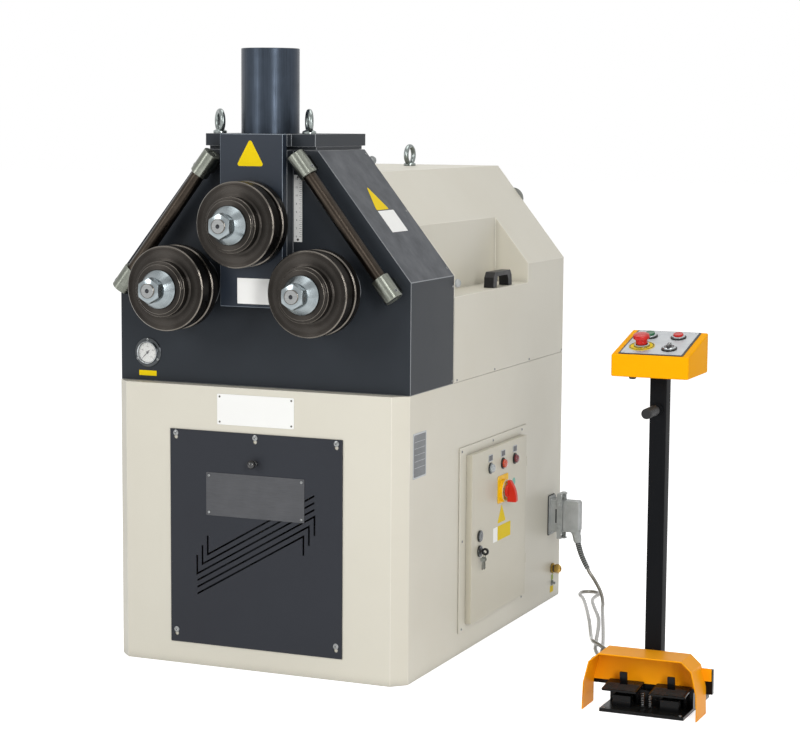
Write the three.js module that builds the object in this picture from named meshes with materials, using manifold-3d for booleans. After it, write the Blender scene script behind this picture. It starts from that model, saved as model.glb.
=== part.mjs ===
// A hydraulic ring roller, which bends bars and profiles between three driven rolls, and the control
// pedestal that stands beside it on a cable. Millimetres, +Z up, +X to the operator's right and -Y
// towards the operator. The origin is the middle of the machine's footprint, on the floor.
import * as THREE from "three";
import { mergeVertices } from "three/addons/utils/BufferGeometryUtils.js";
import Module from "manifold-3d";

const wasm = await Module();
wasm.setup();

// Clearances
const seam = 0.3; // between two faces that rest on each other
const running = 0.4; // between a moving piece and what guides it
const overrun = 6; // what a cut reaches past the face it starts from
const weld = 0.001; // vertices nearer than this are one vertex

// Cabinet
const cabinetWidth = 800;
const cabinetDepth = 1168;
const cabinetHeight = 713;
const cornerChamfer = 34;
const cabinetSheet = 3;
const floorPan = 12;
const hoseSlotWidth = 200;
const hoseSlotDepth = 90;

// Front panel, hung on five screws in keyholes
const panelWidth = 476;
const panelHeight = 545;
const panelBottom = 56;
const panelSheet = 2.5;
const panelRim = 42; // metal of the cabinet behind the panel's edge
const keyholeSide = 16; // from the panel's side edges
const keyholeTop = 20; // from the panel's top edge to the round hole
const keyholeBottom = 21; // from the panel's lower edge to the round hole
const keyholeLift = 10;
const keyholeRadius = 5.8;
const hookHeadRadius = 5;
const hookHeadHeight = 2.5;
const hookShankRadius = 2.5;
const ventCount = 6; // half of them end in a tail at the left, half at the right
const ventPitch = 17.2;
const ventWidth = 5;
const ventHalfRun = 163;
const ventSlope = 30; // degrees
const ventTail = 48;
const ventStep = 15; // from one tail to the next
const ventHeight = 265; // of the slots' common middle above the panel's lower edge
const knobRadius = 11;
const knobStemRadius = 5;
const knobStem = 9;
const knobHeight = 471; // above the panel's lower edge

// Head, the heavy box that carries the rolls
const headSetback = 36;
const headDepth = 278;
const headShoulder = 274;
const headHeight = 587;
const headTopWidth = 304;
const headFacePlate = 18;
const headSidePlate = 8;
const headRearPlate = 12;

// Cap on the head and the cylinder on the cap
const capWidth = 300;
const capThickness = 30;
const capNeck = 9;
const capNeckInset = 4;
const capFrontOverhang = 10;
const capBackOverhang = 10;
const tubeDiameter = 144;
const tubeHeight = 208;
const tubeWall = 12;
const tubeEdge = 3;
const tubeSetback = 48; // from the head's face to the cylinder's axis
const rodDiameter = 56;
const pistonThickness = 30;

// Rolls: two discs on a shaft, clamped by a cone washer and a nut
const rollDiameter = 209;
const backDiscThickness = 29;
const grooveWidth = 17;
const frontDiscThickness = 36;
const discEdge = 3;
const hubDiameter = 143;
const noseDiameter = 136;
const noseLength = 31;
const noseStepDiameter = 122;
const noseStepLength = 7;
const coneDiameter = 94;
const coneTipDiameter = 60;
const coneRim = 4;
const coneLength = 25;
const nutAcrossFlats = 55;
const nutHeight = 26;
const threadDiameter = 36;
const threadEdge = 2;
const threadTip = 5; // what the thread shows in front of the nut
const threadStart = 10; // where the thread starts inside the nose
const shaftDiameter = 60;
const collarDiameter = 92;
const rollReach = 64; // from the head's face to the discs' back
const lowerRollSpacing = 384;
const lowerRollHeight = 249; // above the cabinet
const topRollRise = 160; // of the top roll above the lower two
const bearingFlangeDiameter = 150;
const bearingFlangeDepth = 26;
const quillDiameter = 110;
const shaftGrip = 60; // what a shaft reaches into its drive

// Ram, the slide that carries the top roll
const ramWidth = 170;
const ramThickness = 24;
const ramReach = 58; // from the head's face to the ram's face
const ramBelowRoll = 205;
const ramDown = 75;
const ramUp = 70;
const tongueWidth = 122;
const tongueHeight = 130;
const crossheadWidth = 150;
const crossheadDepth = 62;
const crossheadHeight = 165;
const slotClearance = 2;
const railBottom = 212; // above the cabinet

// Drives inside
const ramMotorDiameter = 110;
const ramMotorLength = 155;
const gearboxWidth = 540;
const gearboxDepth = 170;
const gearboxHeight = 180;
const gearMotorDiameter = 120;
const gearMotorLength = 150;
const tankWidth = 420;
const tankDepth = 260;
const tankHeight = 230;
const tankSetback = 110; // from the front wall
const pumpMotorDiameter = 170;
const pumpMotorHeight = 230;
const pumpWidth = 110;
const pumpDepth = 90;
const pumpHeight = 100;

// Guide bars on the head's face
const barDiameter = 34;
const barTopInset = 40; // from the head's top corner to the bar's upper end
const barTopDrop = 10; // below the head's top
const barBottomInset = 25; // from the head's side to the bar's lower end
const barBottomHeight = 236; // above the cabinet
const barReach = 44; // from the head's face to the bar's axis
const socketDiameter = 47;
const socketLength = 63;
const socketFloor = 7;
const socketFootWidth = 26;
const socketFootLength = 40;

// Lifting eyes
const eyeRingRadius = 24.5;
const eyeWireRadius = 7;
const eyeSeatRadius = 17;
const eyeHeight = 62;
const eyeSeatHeight = 8;
const eyeNeckRadius = 9;
const eyeInset = 28; // from the cap's side to the eye
const eyeSetback = 24; // from the cap's front to the eye
const leftEyeTurn = 43; // degrees
const rightEyeTurn = 34; // degrees
const rearEyeTurn = -2; // degrees
const rearEyeFromBack = 196;

// Pressure gauge
const gaugeFromLeft = 78;
const gaugeHeight = 72; // above the cabinet
const gaugeFlangeDiameter = 75;
const gaugeFlange = 8;
const gaugeDialDiameter = 58;
const gaugeDialDepth = 5;
const gaugeBodyDiameter = 60;
const gaugeBodyLength = 45;
const needleLength = 23;
const needleTail = 8;
const needleWidth = 2;
const needleThickness = 1;
const needleHubRadius = 3.5;
const needlePinRadius = 1.2;

// Rear cover with its recess
const coverSheet = 3;
const coverShoulder = 273;
const coverHeight = 531;
const coverRidgeWidth = 391;
const recessWidth = 98;
const recessFloor = 220; // above the cabinet
const recessBack = 552; // behind the head
const breatherRadius = 32;
const breatherFlange = 8;
const breatherCapRadius = 25;
const breatherCap = 20;
const breatherFromMiddle = 240;
const breatherHeight = 437; // above the cabinet

// Bridge handle on the recess floor
const handleLength = 144;
const handleHeight = 42;
const handleWidth = 28;
const handleBar = 12;
const handleFoot = 24;
const handleFromSide = 26; // from the cover's side to the handle's middle
const handleFromBack = 95; // from the recess's back to the handle's near end

// Electrical door on the right side
const frameNear = 360; // from the cabinet's front to the frame
const frameDepth = 500;
const frameBottom = 57;
const frameHeight = 484;
const framePlate = 3.5;
const frameBorder = 64;
const doorNear = 404;
const doorDepth = 411;
const doorBottom = 75;
const doorHeight = 443;
const doorProud = 20; // from the cabinet's side to the door's face
const doorSheet = 2.5;
const hingeRadius = 5;
const hingePinRadius = 2.2;
const hingeKnuckle = 26;
const hingeInset = 60; // from the door's ends to its hinges
const switchFromDoorFront = 228;
const switchHeight = 392;
const switchCollarRadius = 30;
const switchCollar = 11;
const gripHeight = 60;
const gripRoot = 8;
const gripThickness = 15;
const gripTopReach = 13;
const gripBottomReach = 30;
const gripHubRadius = 17;
const lockFromDoorFront = 56;
const lockRadius = 15;
const lockProud = 5;
const upperLockHeight = 298;
const lowerLockHeight = 258;
const keyShankRadius = 4;
const keyShank = 2;
const keyBowRadius = 10;
const keyBowThickness = 6;

// Plug connector on the right side, near the back
const connectorFromBack = 82; // from the cabinet's back to the connector's middle
const connectorBottom = 194;
const connectorHeight = 112;
const connectorFlangeDepth = 50;
const connectorFlange = 6;
const connectorBoxDepth = 40;
const connectorBoxHeight = 94;
const connectorBoxReach = 37;
const hoodReach = 46;
const hoodDepth = 38;
const hoodHeight = 90;
const hoodChamfer = 5;
const glandRootRadius = 15;
const glandRadius = 12;
const glandLength = 32;
const glandFromWall = 77;
const glandLean = 7; // how far the gland's end stands out from its root
const reliefRadius = 8;
const reliefTipRadius = 7.2;
const reliefDrop = 71; // what the cable's relief reaches below the gland
const reliefLean = 30.5; // how far the relief's end stands out from the gland
const leverThickness = 3;
const leverWidth = 12;
const leverPivotFromWall = 33;
const leverPivotInset = 24; // from the flange's end to the lever's pivot
const leverArm = 31;
const leverPinRadius = 3;
const leverPinHead = 4;

// Cable, which lies on the floor
const cableDiameter = 10;
const cableSides = 6;
const cableSteps = 150;
const cableFloor = 5.6; // height of the cable's middle where it lies on the floor
const cableOver = 17; // height of its middle where it crosses itself
const cableGap = 1; // between the cable's end and the gland or inlet that it leaves by

// Pedestal
const pedestalX = 1001;
const pedestalFromFront = 110; // from the cabinet's front plane back to the column
const footWidth = 204;
const footFront = 105; // from the column's middle
const footBack = 125;
const footPlate = 8;
const crossbarWidth = 294;
const crossbarBottom = 46;
const crossbarTop = 105;
const crossbarThickness = 12;
const socketRing = 10;
const socketRingHeight = 34;
const columnSide = 40;
const columnWall = 3;
const columnCorner = 4;
const columnClear = 0.8;
const inletRadius = 9;
const inletLength = 20;
const inletX = -36;
const inletZ = 16;
const inletBlock = 14;
const guardTopWidth = 200;
const guardShoulderWidth = 250;
const guardWaistWidth = 275;
const guardFootWidth = 279;
const guardHeight = 139;
const guardShoulder = 117;
const guardWaist = 65;
const guardDepth = 85;
const guardSheet = 3;
const guardOffset = -6;
const guardBackBottom = 56;
const guardEarReach = 13;
const guardEarBottom = 78;
const guardEarHeight = 30;
const pedalSpacing = 116;
const pedalWidth = 86;
const pedalLength = 66;
const pedalThickness = 6;
const pedalAxleRadius = 4;
const pedalAxleHeight = 52;
const pedalAxleInset = 30; // from the column's middle towards the operator
const pedalLift = 4; // of the pedal's plate over its axle's middle, at the axle
const pedalDrop = 7; // degrees that the plate leans down towards its toe
const pedalLugRadius = 6;
const pedalEarThickness = 6;
const pedalEarSpacing = 56;
const pedalTabWidth = 18;
const pedalTabHeight = 30;
const pedalTabThickness = 5;
const pedalTabInset = 22; // from the pedal's axle
const switchBlockWidth = 44;
const switchBlockDepth = 42;
const switchBlockHeight = 26;
const switchBlockInset = 42;

// Control box on the pedestal
const boxWidth = 184;
const boxDepth = 170;
const boxFrontHeight = 51.7;
const boxRearHeight = 94;
const boxBottom = 791.6;
const boxFront = 95; // from the column's middle
const boxSheet = 2.5;
const stemLength = 260;
const stemClear = 1.2;
const buttonLeft = -35;
const buttonRight = 33.5;
const buttonRow = 125; // up the sloped panel from its front edge
const stopRow = 57;
const jogRow = 46;
const buttonRadius = 10.5;
const buttonProud = 13;
const buttonRoot = 16; // what a button reaches under the panel
const stopHeadRadius = 19.3;
const stopHeadHeight = 13;
const stopNeckRadius = 14;
const stopNeckHeight = 11;
const stopStemRadius = 10;
const stopStemHeight = 9;
const jogGripWidth = 8;
const jogGripHeight = 9;
const jogBaseHeight = 8;
const clampHeight = 711;
const clampBossRadius = 13;
const clampBoss = 7;
const clampNeckRadius = 7;
const clampNeck = 16;
const clampGripRadius = 12.5;
const clampGrip = 70;
const clampEdge = 2;

// Sides that a round piece has, by its size
const fine = 36;
const medium = 20;
const small = 14;
const tiny = 10;

// Planes and stations that several pieces share
const left = -cabinetWidth / 2;
const right = cabinetWidth / 2;
const front = -cabinetDepth / 2;
const back = cabinetDepth / 2;
const deck = cabinetHeight + seam;
const headFace = front + headSetback;
const headBack = headFace + headDepth;
const headTop = cabinetHeight + headHeight;
const capBottom = headTop + capNeck;
const capTop = capBottom + capThickness;
const capFront = headFace - capFrontOverhang;
const discBack = headFace - rollReach;
const lowerRollZ = cabinetHeight + lowerRollHeight;
const topRollZ = lowerRollZ + topRollRise;
const tubeY = headFace + tubeSetback;
const crossheadBack = headFace + headFacePlate + running + crossheadDepth;
const crossheadTop = topRollZ + crossheadHeight / 2;

// Finishes: colour, roughness and metalness of each kind of surface
const finishes = {
  cream: [0xc9c5b9, 0.5, 0],
  anthracite: [0x3a3c43, 0.45, 0.1],
  turnedSteel: [0x6a625a, 0.4, 0.9],
  barSteel: [0x5c5248, 0.35, 0.9],
  brightSteel: [0xa9a9a4, 0.35, 0.9],
  zinc: [0xb4bcc4, 0.3, 0.9],
  black: [0x1c1c1d, 0.5, 0],
  grey: [0x8c9092, 0.5, 0.2],
  cableGrey: [0x77756f, 0.6, 0],
  yellow: [0xfdba12, 0.4, 0],
  orange: [0xf59a0a, 0.4, 0],
  red: [0xd6281e, 0.35, 0],
  green: [0x1f7a52, 0.35, 0],
  castIron: [0x4b4f54, 0.6, 0.4],
  chrome: [0xc8ccd0, 0.15, 1],
};

// Makes a closed geometry into a solid that can be joined and cut
function solid(geometry) {
  const bare = geometry.index ? geometry.toNonIndexed() : geometry.clone();
  bare.deleteAttribute("normal");
  bare.deleteAttribute("uv");
  const welded = mergeVertices(bare, weld);
  const vertProperties = welded.attributes.position.array;
  const triVerts = new Uint32Array(welded.index.array);
  return new wasm.Manifold(new wasm.Mesh({ numProp: 3, vertProperties, triVerts }));
}

function join(...parts) {
  return parts.reduce((sum, part) => sum.add(part));
}

function cut(body, ...tools) {
  return tools.reduce((rest, tool) => rest.subtract(tool), body);
}

// A block between two places on each axis
function block([x0, x1], [y0, y1], [z0, z1]) {
  const geometry = new THREE.BoxGeometry(x1 - x0, y1 - y0, z1 - z0);
  return solid(geometry.translate((x0 + x1) / 2, (y0 + y1) / 2, (z0 + z1) / 2));
}

function middle(centre, size) {
  return [centre - size / 2, centre + size / 2];
}

// The directions that an outline's two axes and its thickness take in each plane
const axisX = new THREE.Vector3(1, 0, 0);
const axisY = new THREE.Vector3(0, 1, 0);
const axisZ = new THREE.Vector3(0, 0, 1);
const planes = {
  xy: new THREE.Matrix4().makeBasis(axisX, axisY, axisZ),
  yz: new THREE.Matrix4().makeBasis(axisY, axisZ, axisX),
  xz: new THREE.Matrix4().makeBasis(axisX, axisZ, axisY.clone().negate()),
};

function shapeOf(points) {
  return new THREE.Shape(points.map(([u, v]) => new THREE.Vector2(u, v)));
}

// An outline in a plane, given thickness between two places on the third axis
function prism(outline, plane, [low, high]) {
  const shape = Array.isArray(outline) ? shapeOf(outline) : outline;
  const depth = high - low;
  const geometry = new THREE.ExtrudeGeometry(shape, { depth, bevelEnabled: false, curveSegments: 4 });
  geometry.translate(0, 0, plane === "xz" ? -high : low);
  return solid(geometry.applyMatrix4(planes[plane]));
}

// A round bar between two points, with another radius at its end if one is given
function rod(from, to, radius, sides, endRadius = radius) {
  const start = new THREE.Vector3(...from);
  const line = new THREE.Vector3(...to).sub(start);
  const geometry = new THREE.CylinderGeometry(endRadius, radius, line.length(), sides);
  geometry.translate(0, line.length() / 2, 0);
  const turn = new THREE.Quaternion().setFromUnitVectors(axisY, line.normalize());
  geometry.applyQuaternion(turn);
  return solid(geometry.translate(...from));
}

// A turned piece: its profile is a list of [radius, place along the axis], rising on the outside
function turned(profile, sides, axis = axisY) {
  const points = profile.map(([radius, along]) => new THREE.Vector2(radius, along));
  const geometry = new THREE.LatheGeometry(points, sides);
  return solid(geometry.applyQuaternion(new THREE.Quaternion().setFromUnitVectors(axisY, axis)));
}

// A turned piece with a bore, whose profile closes on itself
function turnedRing(profile, sides, axis = axisY) {
  return turned([...profile, profile[0]], sides, axis);
}

// The radius of a many-sided bore that clears a round shaft all the way round
function boreFor(radius, sides) {
  return (radius + running) / Math.cos(Math.PI / sides);
}

// The outline that lies a distance inside another, with the same corners
function inset(points, distance) {
  const count = points.length;
  const corner = (i) => points[(i + count) % count];
  const edge = (i) => {
    const [ax, ay] = corner(i);
    const [bx, by] = corner(i + 1);
    const length = Math.hypot(bx - ax, by - ay);
    const direction = [(bx - ax) / length, (by - ay) / length];
    return { start: [ax - direction[1] * distance, ay + direction[0] * distance], direction };
  };
  return points.map((point, i) => {
    const a = edge(i - 1);
    const b = edge(i);
    const cross = a.direction[0] * b.direction[1] - a.direction[1] * b.direction[0];
    const dx = b.start[0] - a.start[0];
    const dy = b.start[1] - a.start[1];
    const t = (dx * b.direction[1] - dy * b.direction[0]) / cross;
    return [a.start[0] + t * a.direction[0], a.start[1] + t * a.direction[1]];
  });
}

function mesh(name, body, finish) {
  const { vertProperties, triVerts } = body.getMesh();
  const geometry = new THREE.BufferGeometry();
  geometry.setAttribute("position", new THREE.BufferAttribute(new Float32Array(vertProperties), 3));
  geometry.setIndex(new THREE.BufferAttribute(new Uint32Array(triVerts), 1));
  geometry.computeVertexNormals();
  const [color, roughness, metalness] = finishes[finish];
  const made = new THREE.Mesh(geometry, new THREE.MeshStandardMaterial({ color, roughness, metalness }));
  made.name = name;
  return made;
}

function groupAt(position, ...children) {
  const group = new THREE.Group();
  group.position.set(...position);
  group.add(...children);
  return group;
}

const object = new THREE.Group();

// The cabinet: floor pan, walls and deck, welded to one shell
function footprint() {
  return [
    [left, front + cornerChamfer],
    [left + cornerChamfer, front],
    [right - cornerChamfer, front],
    [right, front + cornerChamfer],
    [right, back],
    [left, back],
  ];
}

const keyholes = [
  [-1, 1],
  [0, 1],
  [1, 1],
  [-1, 0],
  [1, 0],
].map(([side, top]) => [
  side * (panelWidth / 2 - keyholeSide),
  panelBottom + (top ? panelHeight - keyholeTop : keyholeBottom),
]);

function hookScrews() {
  const shankEnd = front - seam - panelSheet - seam;
  return keyholes.flatMap(([x, z]) => [
    rod(
      [x, front + cabinetSheet / 2, z + keyholeLift],
      [x, shankEnd, z + keyholeLift],
      hookShankRadius,
      tiny,
    ),
    rod(
      [x, shankEnd, z + keyholeLift],
      [x, shankEnd - hookHeadHeight, z + keyholeLift],
      hookHeadRadius,
      tiny,
    ),
  ]);
}

const doorFrontY = front + doorNear;
const doorBackY = doorFrontY + doorDepth;
const frameY = [front + frameNear, front + frameNear + frameDepth];
const frameZ = [frameBottom, frameBottom + frameHeight];
const doorwayY = [frameY[0] + frameBorder, frameY[1] - frameBorder];
const doorwayZ = [frameZ[0] + frameBorder, frameZ[1] - frameBorder];

function cabinetShell() {
  const shell = prism(footprint(), "xy", [0, cabinetHeight]);
  const room = prism(inset(footprint(), cabinetSheet), "xy", [floorPan, cabinetHeight - cabinetSheet]);
  const hatch = block(
    middle(0, panelWidth - 2 * panelRim),
    [front - overrun, front + cabinetSheet + overrun],
    [panelBottom + panelRim, panelBottom + panelHeight - panelRim],
  );
  const doorway = block([right - cabinetSheet - overrun, right + overrun], doorwayY, doorwayZ);
  const hoseSlot = block(
    middle(0, hoseSlotWidth),
    middle((headFace + headBack) / 2, hoseSlotDepth),
    [cabinetHeight - cabinetSheet - overrun, cabinetHeight + overrun],
  );
  return join(cut(shell, room, hatch, doorway, hoseSlot), ...hookScrews());
}

object.add(mesh("cabinet_shell", cabinetShell(), "cream"));

// One vent slot: a slanted run and an upright tail at its lower or its upper end
function ventSlot(i) {
  const half = ventCount / 2;
  const rise = Math.tan(THREE.MathUtils.degToRad(ventSlope));
  const middleZ = panelBottom + ventHeight + (i - (ventCount - 1) / 2) * ventPitch;
  const upper = i >= half;
  const step = upper ? i - half : half - 1 - i;
  const side = upper ? -1 : 1;
  const bend = side * (ventHalfRun - step * ventStep);
  const end = -side * ventHalfRun;
  const tip = middleZ + rise * bend - side * ventTail;
  const across = (side * ventWidth) / 2;
  const inner = bend - across;
  const outer = bend + across;
  const onRun = (x, edge) => [x, middleZ + rise * x + (edge * ventWidth) / 2];
  return [
    onRun(end, side),
    onRun(outer, side),
    [outer, tip],
    [inner, tip],
    onRun(inner, -side),
    onRun(end, -side),
  ];
}

// The front panel and its knob
function frontPanel() {
  const half = panelWidth / 2;
  const outline = shapeOf([
    [-half, panelBottom],
    [half, panelBottom],
    [half, panelBottom + panelHeight],
    [-half, panelBottom + panelHeight],
  ]);
  for (let i = 0; i < ventCount; i++) {
    outline.holes.push(new THREE.Path(ventSlot(i).map(([u, v]) => new THREE.Vector2(u, v))));
  }
  const behind = front - seam;
  const ahead = behind - panelSheet;
  const slots = keyholes.flatMap(([x, z]) => {
    const through = [ahead - overrun, behind + overrun];
    const half = hookShankRadius + running;
    return [
      rod([x, through[0], z], [x, through[1], z], keyholeRadius, tiny),
      block([x - half, x + half], through, [z, z + keyholeLift]),
      rod(
        [x, through[0], z + keyholeLift],
        [x, through[1], z + keyholeLift],
        boreFor(hookShankRadius, tiny),
        tiny,
      ),
    ];
  });
  return cut(prism(outline, "xz", [ahead, behind]), ...slots);
}

const panelFace = front - seam - panelSheet;
const knobProfile = (() => {
  const steps = 7;
  const start = Math.asin(knobStemRadius / knobRadius);
  const centre = -seam - knobStem - knobRadius * Math.cos(start);
  const points = [[0, centre - knobRadius]];
  for (let i = 1; i <= steps; i++) {
    const angle = Math.PI - (i * (Math.PI - start)) / steps;
    points.push([knobRadius * Math.sin(angle), centre + knobRadius * Math.cos(angle)]);
  }
  return [...points, [knobStemRadius, -seam], [0, -seam]];
})();

object.add(
  mesh("front_panel", frontPanel(), "black"),
  groupAt([0, panelFace, panelBottom + knobHeight], mesh("panel_knob", turned(knobProfile, small), "black")),
);

// The head: face plate, sides, slopes and rear plate, with the roll bearings and the ram's rails
function headOutline(bottom) {
  const shoulder = cabinetHeight + headShoulder;
  return [
    [left, bottom],
    [right, bottom],
    [right, shoulder],
    [headTopWidth / 2, headTop],
    [-headTopWidth / 2, headTop],
    [left, shoulder],
  ];
}

function lowerShafts() {
  return [-lowerRollSpacing / 2, lowerRollSpacing / 2];
}

const shaftBore = boreFor(shaftDiameter / 2, medium);
const railFront = headFace - ramReach + ramThickness + running;
const gaugeX = left + gaugeFromLeft;
const gaugeZ = cabinetHeight + gaugeHeight;

function headShell() {
  const shell = prism(headOutline(deck), "xz", [headFace, headBack]);
  const room = prism(inset(headOutline(deck - headSidePlate - overrun), headSidePlate), "xz", [
    headFace + headFacePlate,
    headBack - headRearPlate,
  ]);
  const slot = block(
    middle(0, tongueWidth + 2 * running),
    [headFace - ramReach, headFace + headFacePlate + overrun],
    [
      topRollZ - tongueHeight / 2 - ramDown - slotClearance,
      topRollZ + tongueHeight / 2 + ramUp + slotClearance,
    ],
  );
  const railGap = tongueWidth / 2 + running;
  const rails = [-1, 1].map((side) =>
    block(
      [side * railGap, (side * ramWidth) / 2].sort((a, b) => a - b),
      [railFront, headFace + headFacePlate / 2],
      [cabinetHeight + railBottom, headTop],
    ),
  );
  const bearings = lowerShafts().flatMap((x) => [
    rod(
      [x, headFace - bearingFlangeDepth, lowerRollZ],
      [x, headFace + headFacePlate / 2, lowerRollZ],
      bearingFlangeDiameter / 2,
      fine,
    ),
    rod(
      [x, headFace + headFacePlate / 2, lowerRollZ],
      [x, headBack - headRearPlate / 2, lowerRollZ],
      quillDiameter / 2,
      medium,
    ),
  ]);
  const bores = lowerShafts().map((x) =>
    rod(
      [x, headFace - bearingFlangeDepth - overrun, lowerRollZ],
      [x, headBack + overrun, lowerRollZ],
      shaftBore,
      medium,
    ),
  );
  const rodHole = rod(
    [0, tubeY, headTop - headSidePlate - overrun],
    [0, tubeY, headTop + overrun],
    boreFor(rodDiameter / 2, medium),
    medium,
  );
  const gaugeHole = rod(
    [gaugeX, headFace - overrun, gaugeZ],
    [gaugeX, headFace + headFacePlate + overrun, gaugeZ],
    boreFor(gaugeBodyDiameter / 2, medium),
    medium,
  );
  return cut(join(cut(shell, room), ...rails, ...bearings), slot, ...bores, rodHole, gaugeHole);
}

object.add(mesh("head_shell", headShell(), "anthracite"));

// The cap plate, which closes the head and carries the cylinder
function capPlate() {
  const plate = block(
    middle(0, capWidth),
    [capFront, headBack + capBackOverhang],
    [capBottom, capTop],
  );
  const neck = block(
    middle(0, capWidth - 2 * capNeckInset),
    [headFace + capNeckInset, headBack - capNeckInset],
    [headTop + seam, capBottom + capThickness / 2],
  );
  const guide = block(middle(0, ramWidth), [railFront, capFront + overrun], [capBottom, capTop]);
  const rodHole = rod(
    [0, tubeY, headTop - overrun],
    [0, tubeY, capTop + overrun],
    boreFor(rodDiameter / 2, medium),
    medium,
  );
  return cut(join(plate, neck, guide), rodHole);
}

// The cylinder's tube, open at the bottom over the rod's hole
const tubeRadius = tubeDiameter / 2;
const tubeBore = tubeRadius - tubeWall;

function cylinderTube() {
  const bottom = capTop + seam;
  const top = bottom + tubeHeight;
  return turned(
    [
      [0, top - tubeWall],
      [tubeBore, top - tubeWall],
      [tubeBore, bottom],
      [tubeRadius, bottom],
      [tubeRadius, top - tubeEdge],
      [tubeRadius - tubeEdge, top],
      [0, top],
    ],
    fine,
    axisZ,
  );
}

// The piston and its rod, which stand on the ram's crosshead
function pistonRod() {
  const foot = crossheadTop + seam;
  const pistonFoot = capTop + seam + ramDown + slotClearance;
  const pistonRadius = tubeBore * Math.cos(Math.PI / fine) - running;
  return turned(
    [
      [0, foot],
      [rodDiameter / 2, foot],
      [rodDiameter / 2, pistonFoot],
      [pistonRadius, pistonFoot],
      [pistonRadius, pistonFoot + pistonThickness],
      [0, pistonFoot + pistonThickness],
    ],
    medium,
    axisZ,
  );
}

object.add(
  mesh("cap_plate", capPlate(), "anthracite"),
  groupAt(
    [0, tubeY, 0],
    mesh("cylinder_tube", cylinderTube(), "anthracite"),
    mesh("piston_rod", pistonRod(), "chrome"),
  ),
);

// The ram: its slab, the tongue that runs between the rails, and the crosshead behind the face plate
function ramBlock() {
  const slab = block(
    middle(0, ramWidth),
    [headFace - ramReach, headFace - ramReach + ramThickness],
    [topRollZ - ramBelowRoll, capTop],
  );
  const tongue = block(
    middle(0, tongueWidth),
    [headFace - ramReach + ramThickness / 2, crossheadBack - crossheadDepth / 2],
    middle(topRollZ, tongueHeight),
  );
  const crosshead = block(
    middle(0, crossheadWidth),
    [crossheadBack - crossheadDepth, crossheadBack],
    middle(topRollZ, crossheadHeight),
  );
  const bore = rod(
    [0, headFace - ramReach - overrun, topRollZ],
    [0, crossheadBack + overrun, topRollZ],
    shaftBore,
    medium,
  );
  return cut(join(slab, tongue, crosshead), bore);
}

// A motor along -Y to +Y, with a bore in its front for the shaft that it turns
function topDrive() {
  const start = crossheadBack + seam;
  const body = rod([0, start, topRollZ], [0, start + ramMotorLength, topRollZ], ramMotorDiameter / 2, medium);
  const bore = rod(
    [0, start - overrun, topRollZ],
    [0, start + shaftGrip + overrun, topRollZ],
    shaftBore,
    medium,
  );
  return cut(body, bore);
}

// The gearbox of the two lower shafts, on the head's rear plate
function lowerDrive() {
  const start = headBack + seam;
  const box = block(
    middle(0, gearboxWidth),
    [start, start + gearboxDepth],
    middle(lowerRollZ, gearboxHeight),
  );
  const motor = rod(
    [0, start + gearboxDepth / 2, lowerRollZ],
    [0, start + gearboxDepth + gearMotorLength, lowerRollZ],
    gearMotorDiameter / 2,
    medium,
  );
  const bores = lowerShafts().map((x) =>
    rod([x, start - overrun, lowerRollZ], [x, start + shaftGrip + overrun, lowerRollZ], shaftBore, medium),
  );
  return cut(join(box, motor), ...bores);
}

// The oil tank with its pump and motor, on the floor pan
function hydraulicUnit() {
  const foot = floorPan + seam;
  const y = front + cabinetSheet + tankSetback + tankDepth / 2;
  const tank = block(middle(0, tankWidth), middle(y, tankDepth), [foot, foot + tankHeight]);
  const motorX = -tankWidth / 4;
  const motor = rod(
    [motorX, y, foot + tankHeight - overrun],
    [motorX, y, foot + tankHeight + pumpMotorHeight],
    pumpMotorDiameter / 2,
    medium,
  );
  const pump = block(
    middle(tankWidth / 4, pumpWidth),
    middle(y, pumpDepth),
    [foot + tankHeight - overrun, foot + tankHeight + pumpHeight],
  );
  return join(tank, motor, pump);
}

object.add(
  mesh("ram_block", ramBlock(), "anthracite"),
  mesh("top_drive", topDrive(), "castIron"),
  mesh("lower_drive", lowerDrive(), "castIron"),
  mesh("hydraulic_unit", hydraulicUnit(), "castIron"),
);

// The rolls. Each is built with the discs' back at 0 and its nose towards -Y
const discRadius = rollDiameter / 2;
const discFront = -(backDiscThickness + grooveWidth + frontDiscThickness);
const noseFront = discFront - noseLength;
const coneFront = noseFront - seam - coneLength;
const nutFront = coneFront - seam - nutHeight;
const discBore = shaftDiameter / 2 + running;
const threadBore = threadDiameter / 2 + running;

function backDisc() {
  const face = -backDiscThickness;
  const hubEnd = face - grooveWidth + seam;
  return turnedRing(
    [
      [discBore, hubEnd],
      [hubDiameter / 2, hubEnd],
      [hubDiameter / 2, face],
      [discRadius - discEdge, face],
      [discRadius, face + discEdge],
      [discRadius, -discEdge],
      [discRadius - discEdge, 0],
      [discBore, 0],
    ],
    fine,
  );
}

function frontDisc() {
  const rear = -(backDiscThickness + grooveWidth);
  return turnedRing(
    [
      [discBore, noseFront],
      [noseStepDiameter / 2, noseFront],
      [noseStepDiameter / 2, noseFront + noseStepLength],
      [noseDiameter / 2, noseFront + noseStepLength],
      [noseDiameter / 2, discFront],
      [discRadius - discEdge, discFront],
      [discRadius, discFront + discEdge],
      [discRadius, rear - discEdge],
      [discRadius - discEdge, rear],
      [discBore, rear],
    ],
    fine,
  );
}

function coneWasher() {
  return turnedRing(
    [
      [threadBore, coneFront],
      [coneTipDiameter / 2, coneFront],
      [coneDiameter / 2, coneFront + coneLength - coneRim],
      [coneDiameter / 2, coneFront + coneLength],
      [threadBore, coneFront + coneLength],
    ],
    medium,
  );
}

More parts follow.
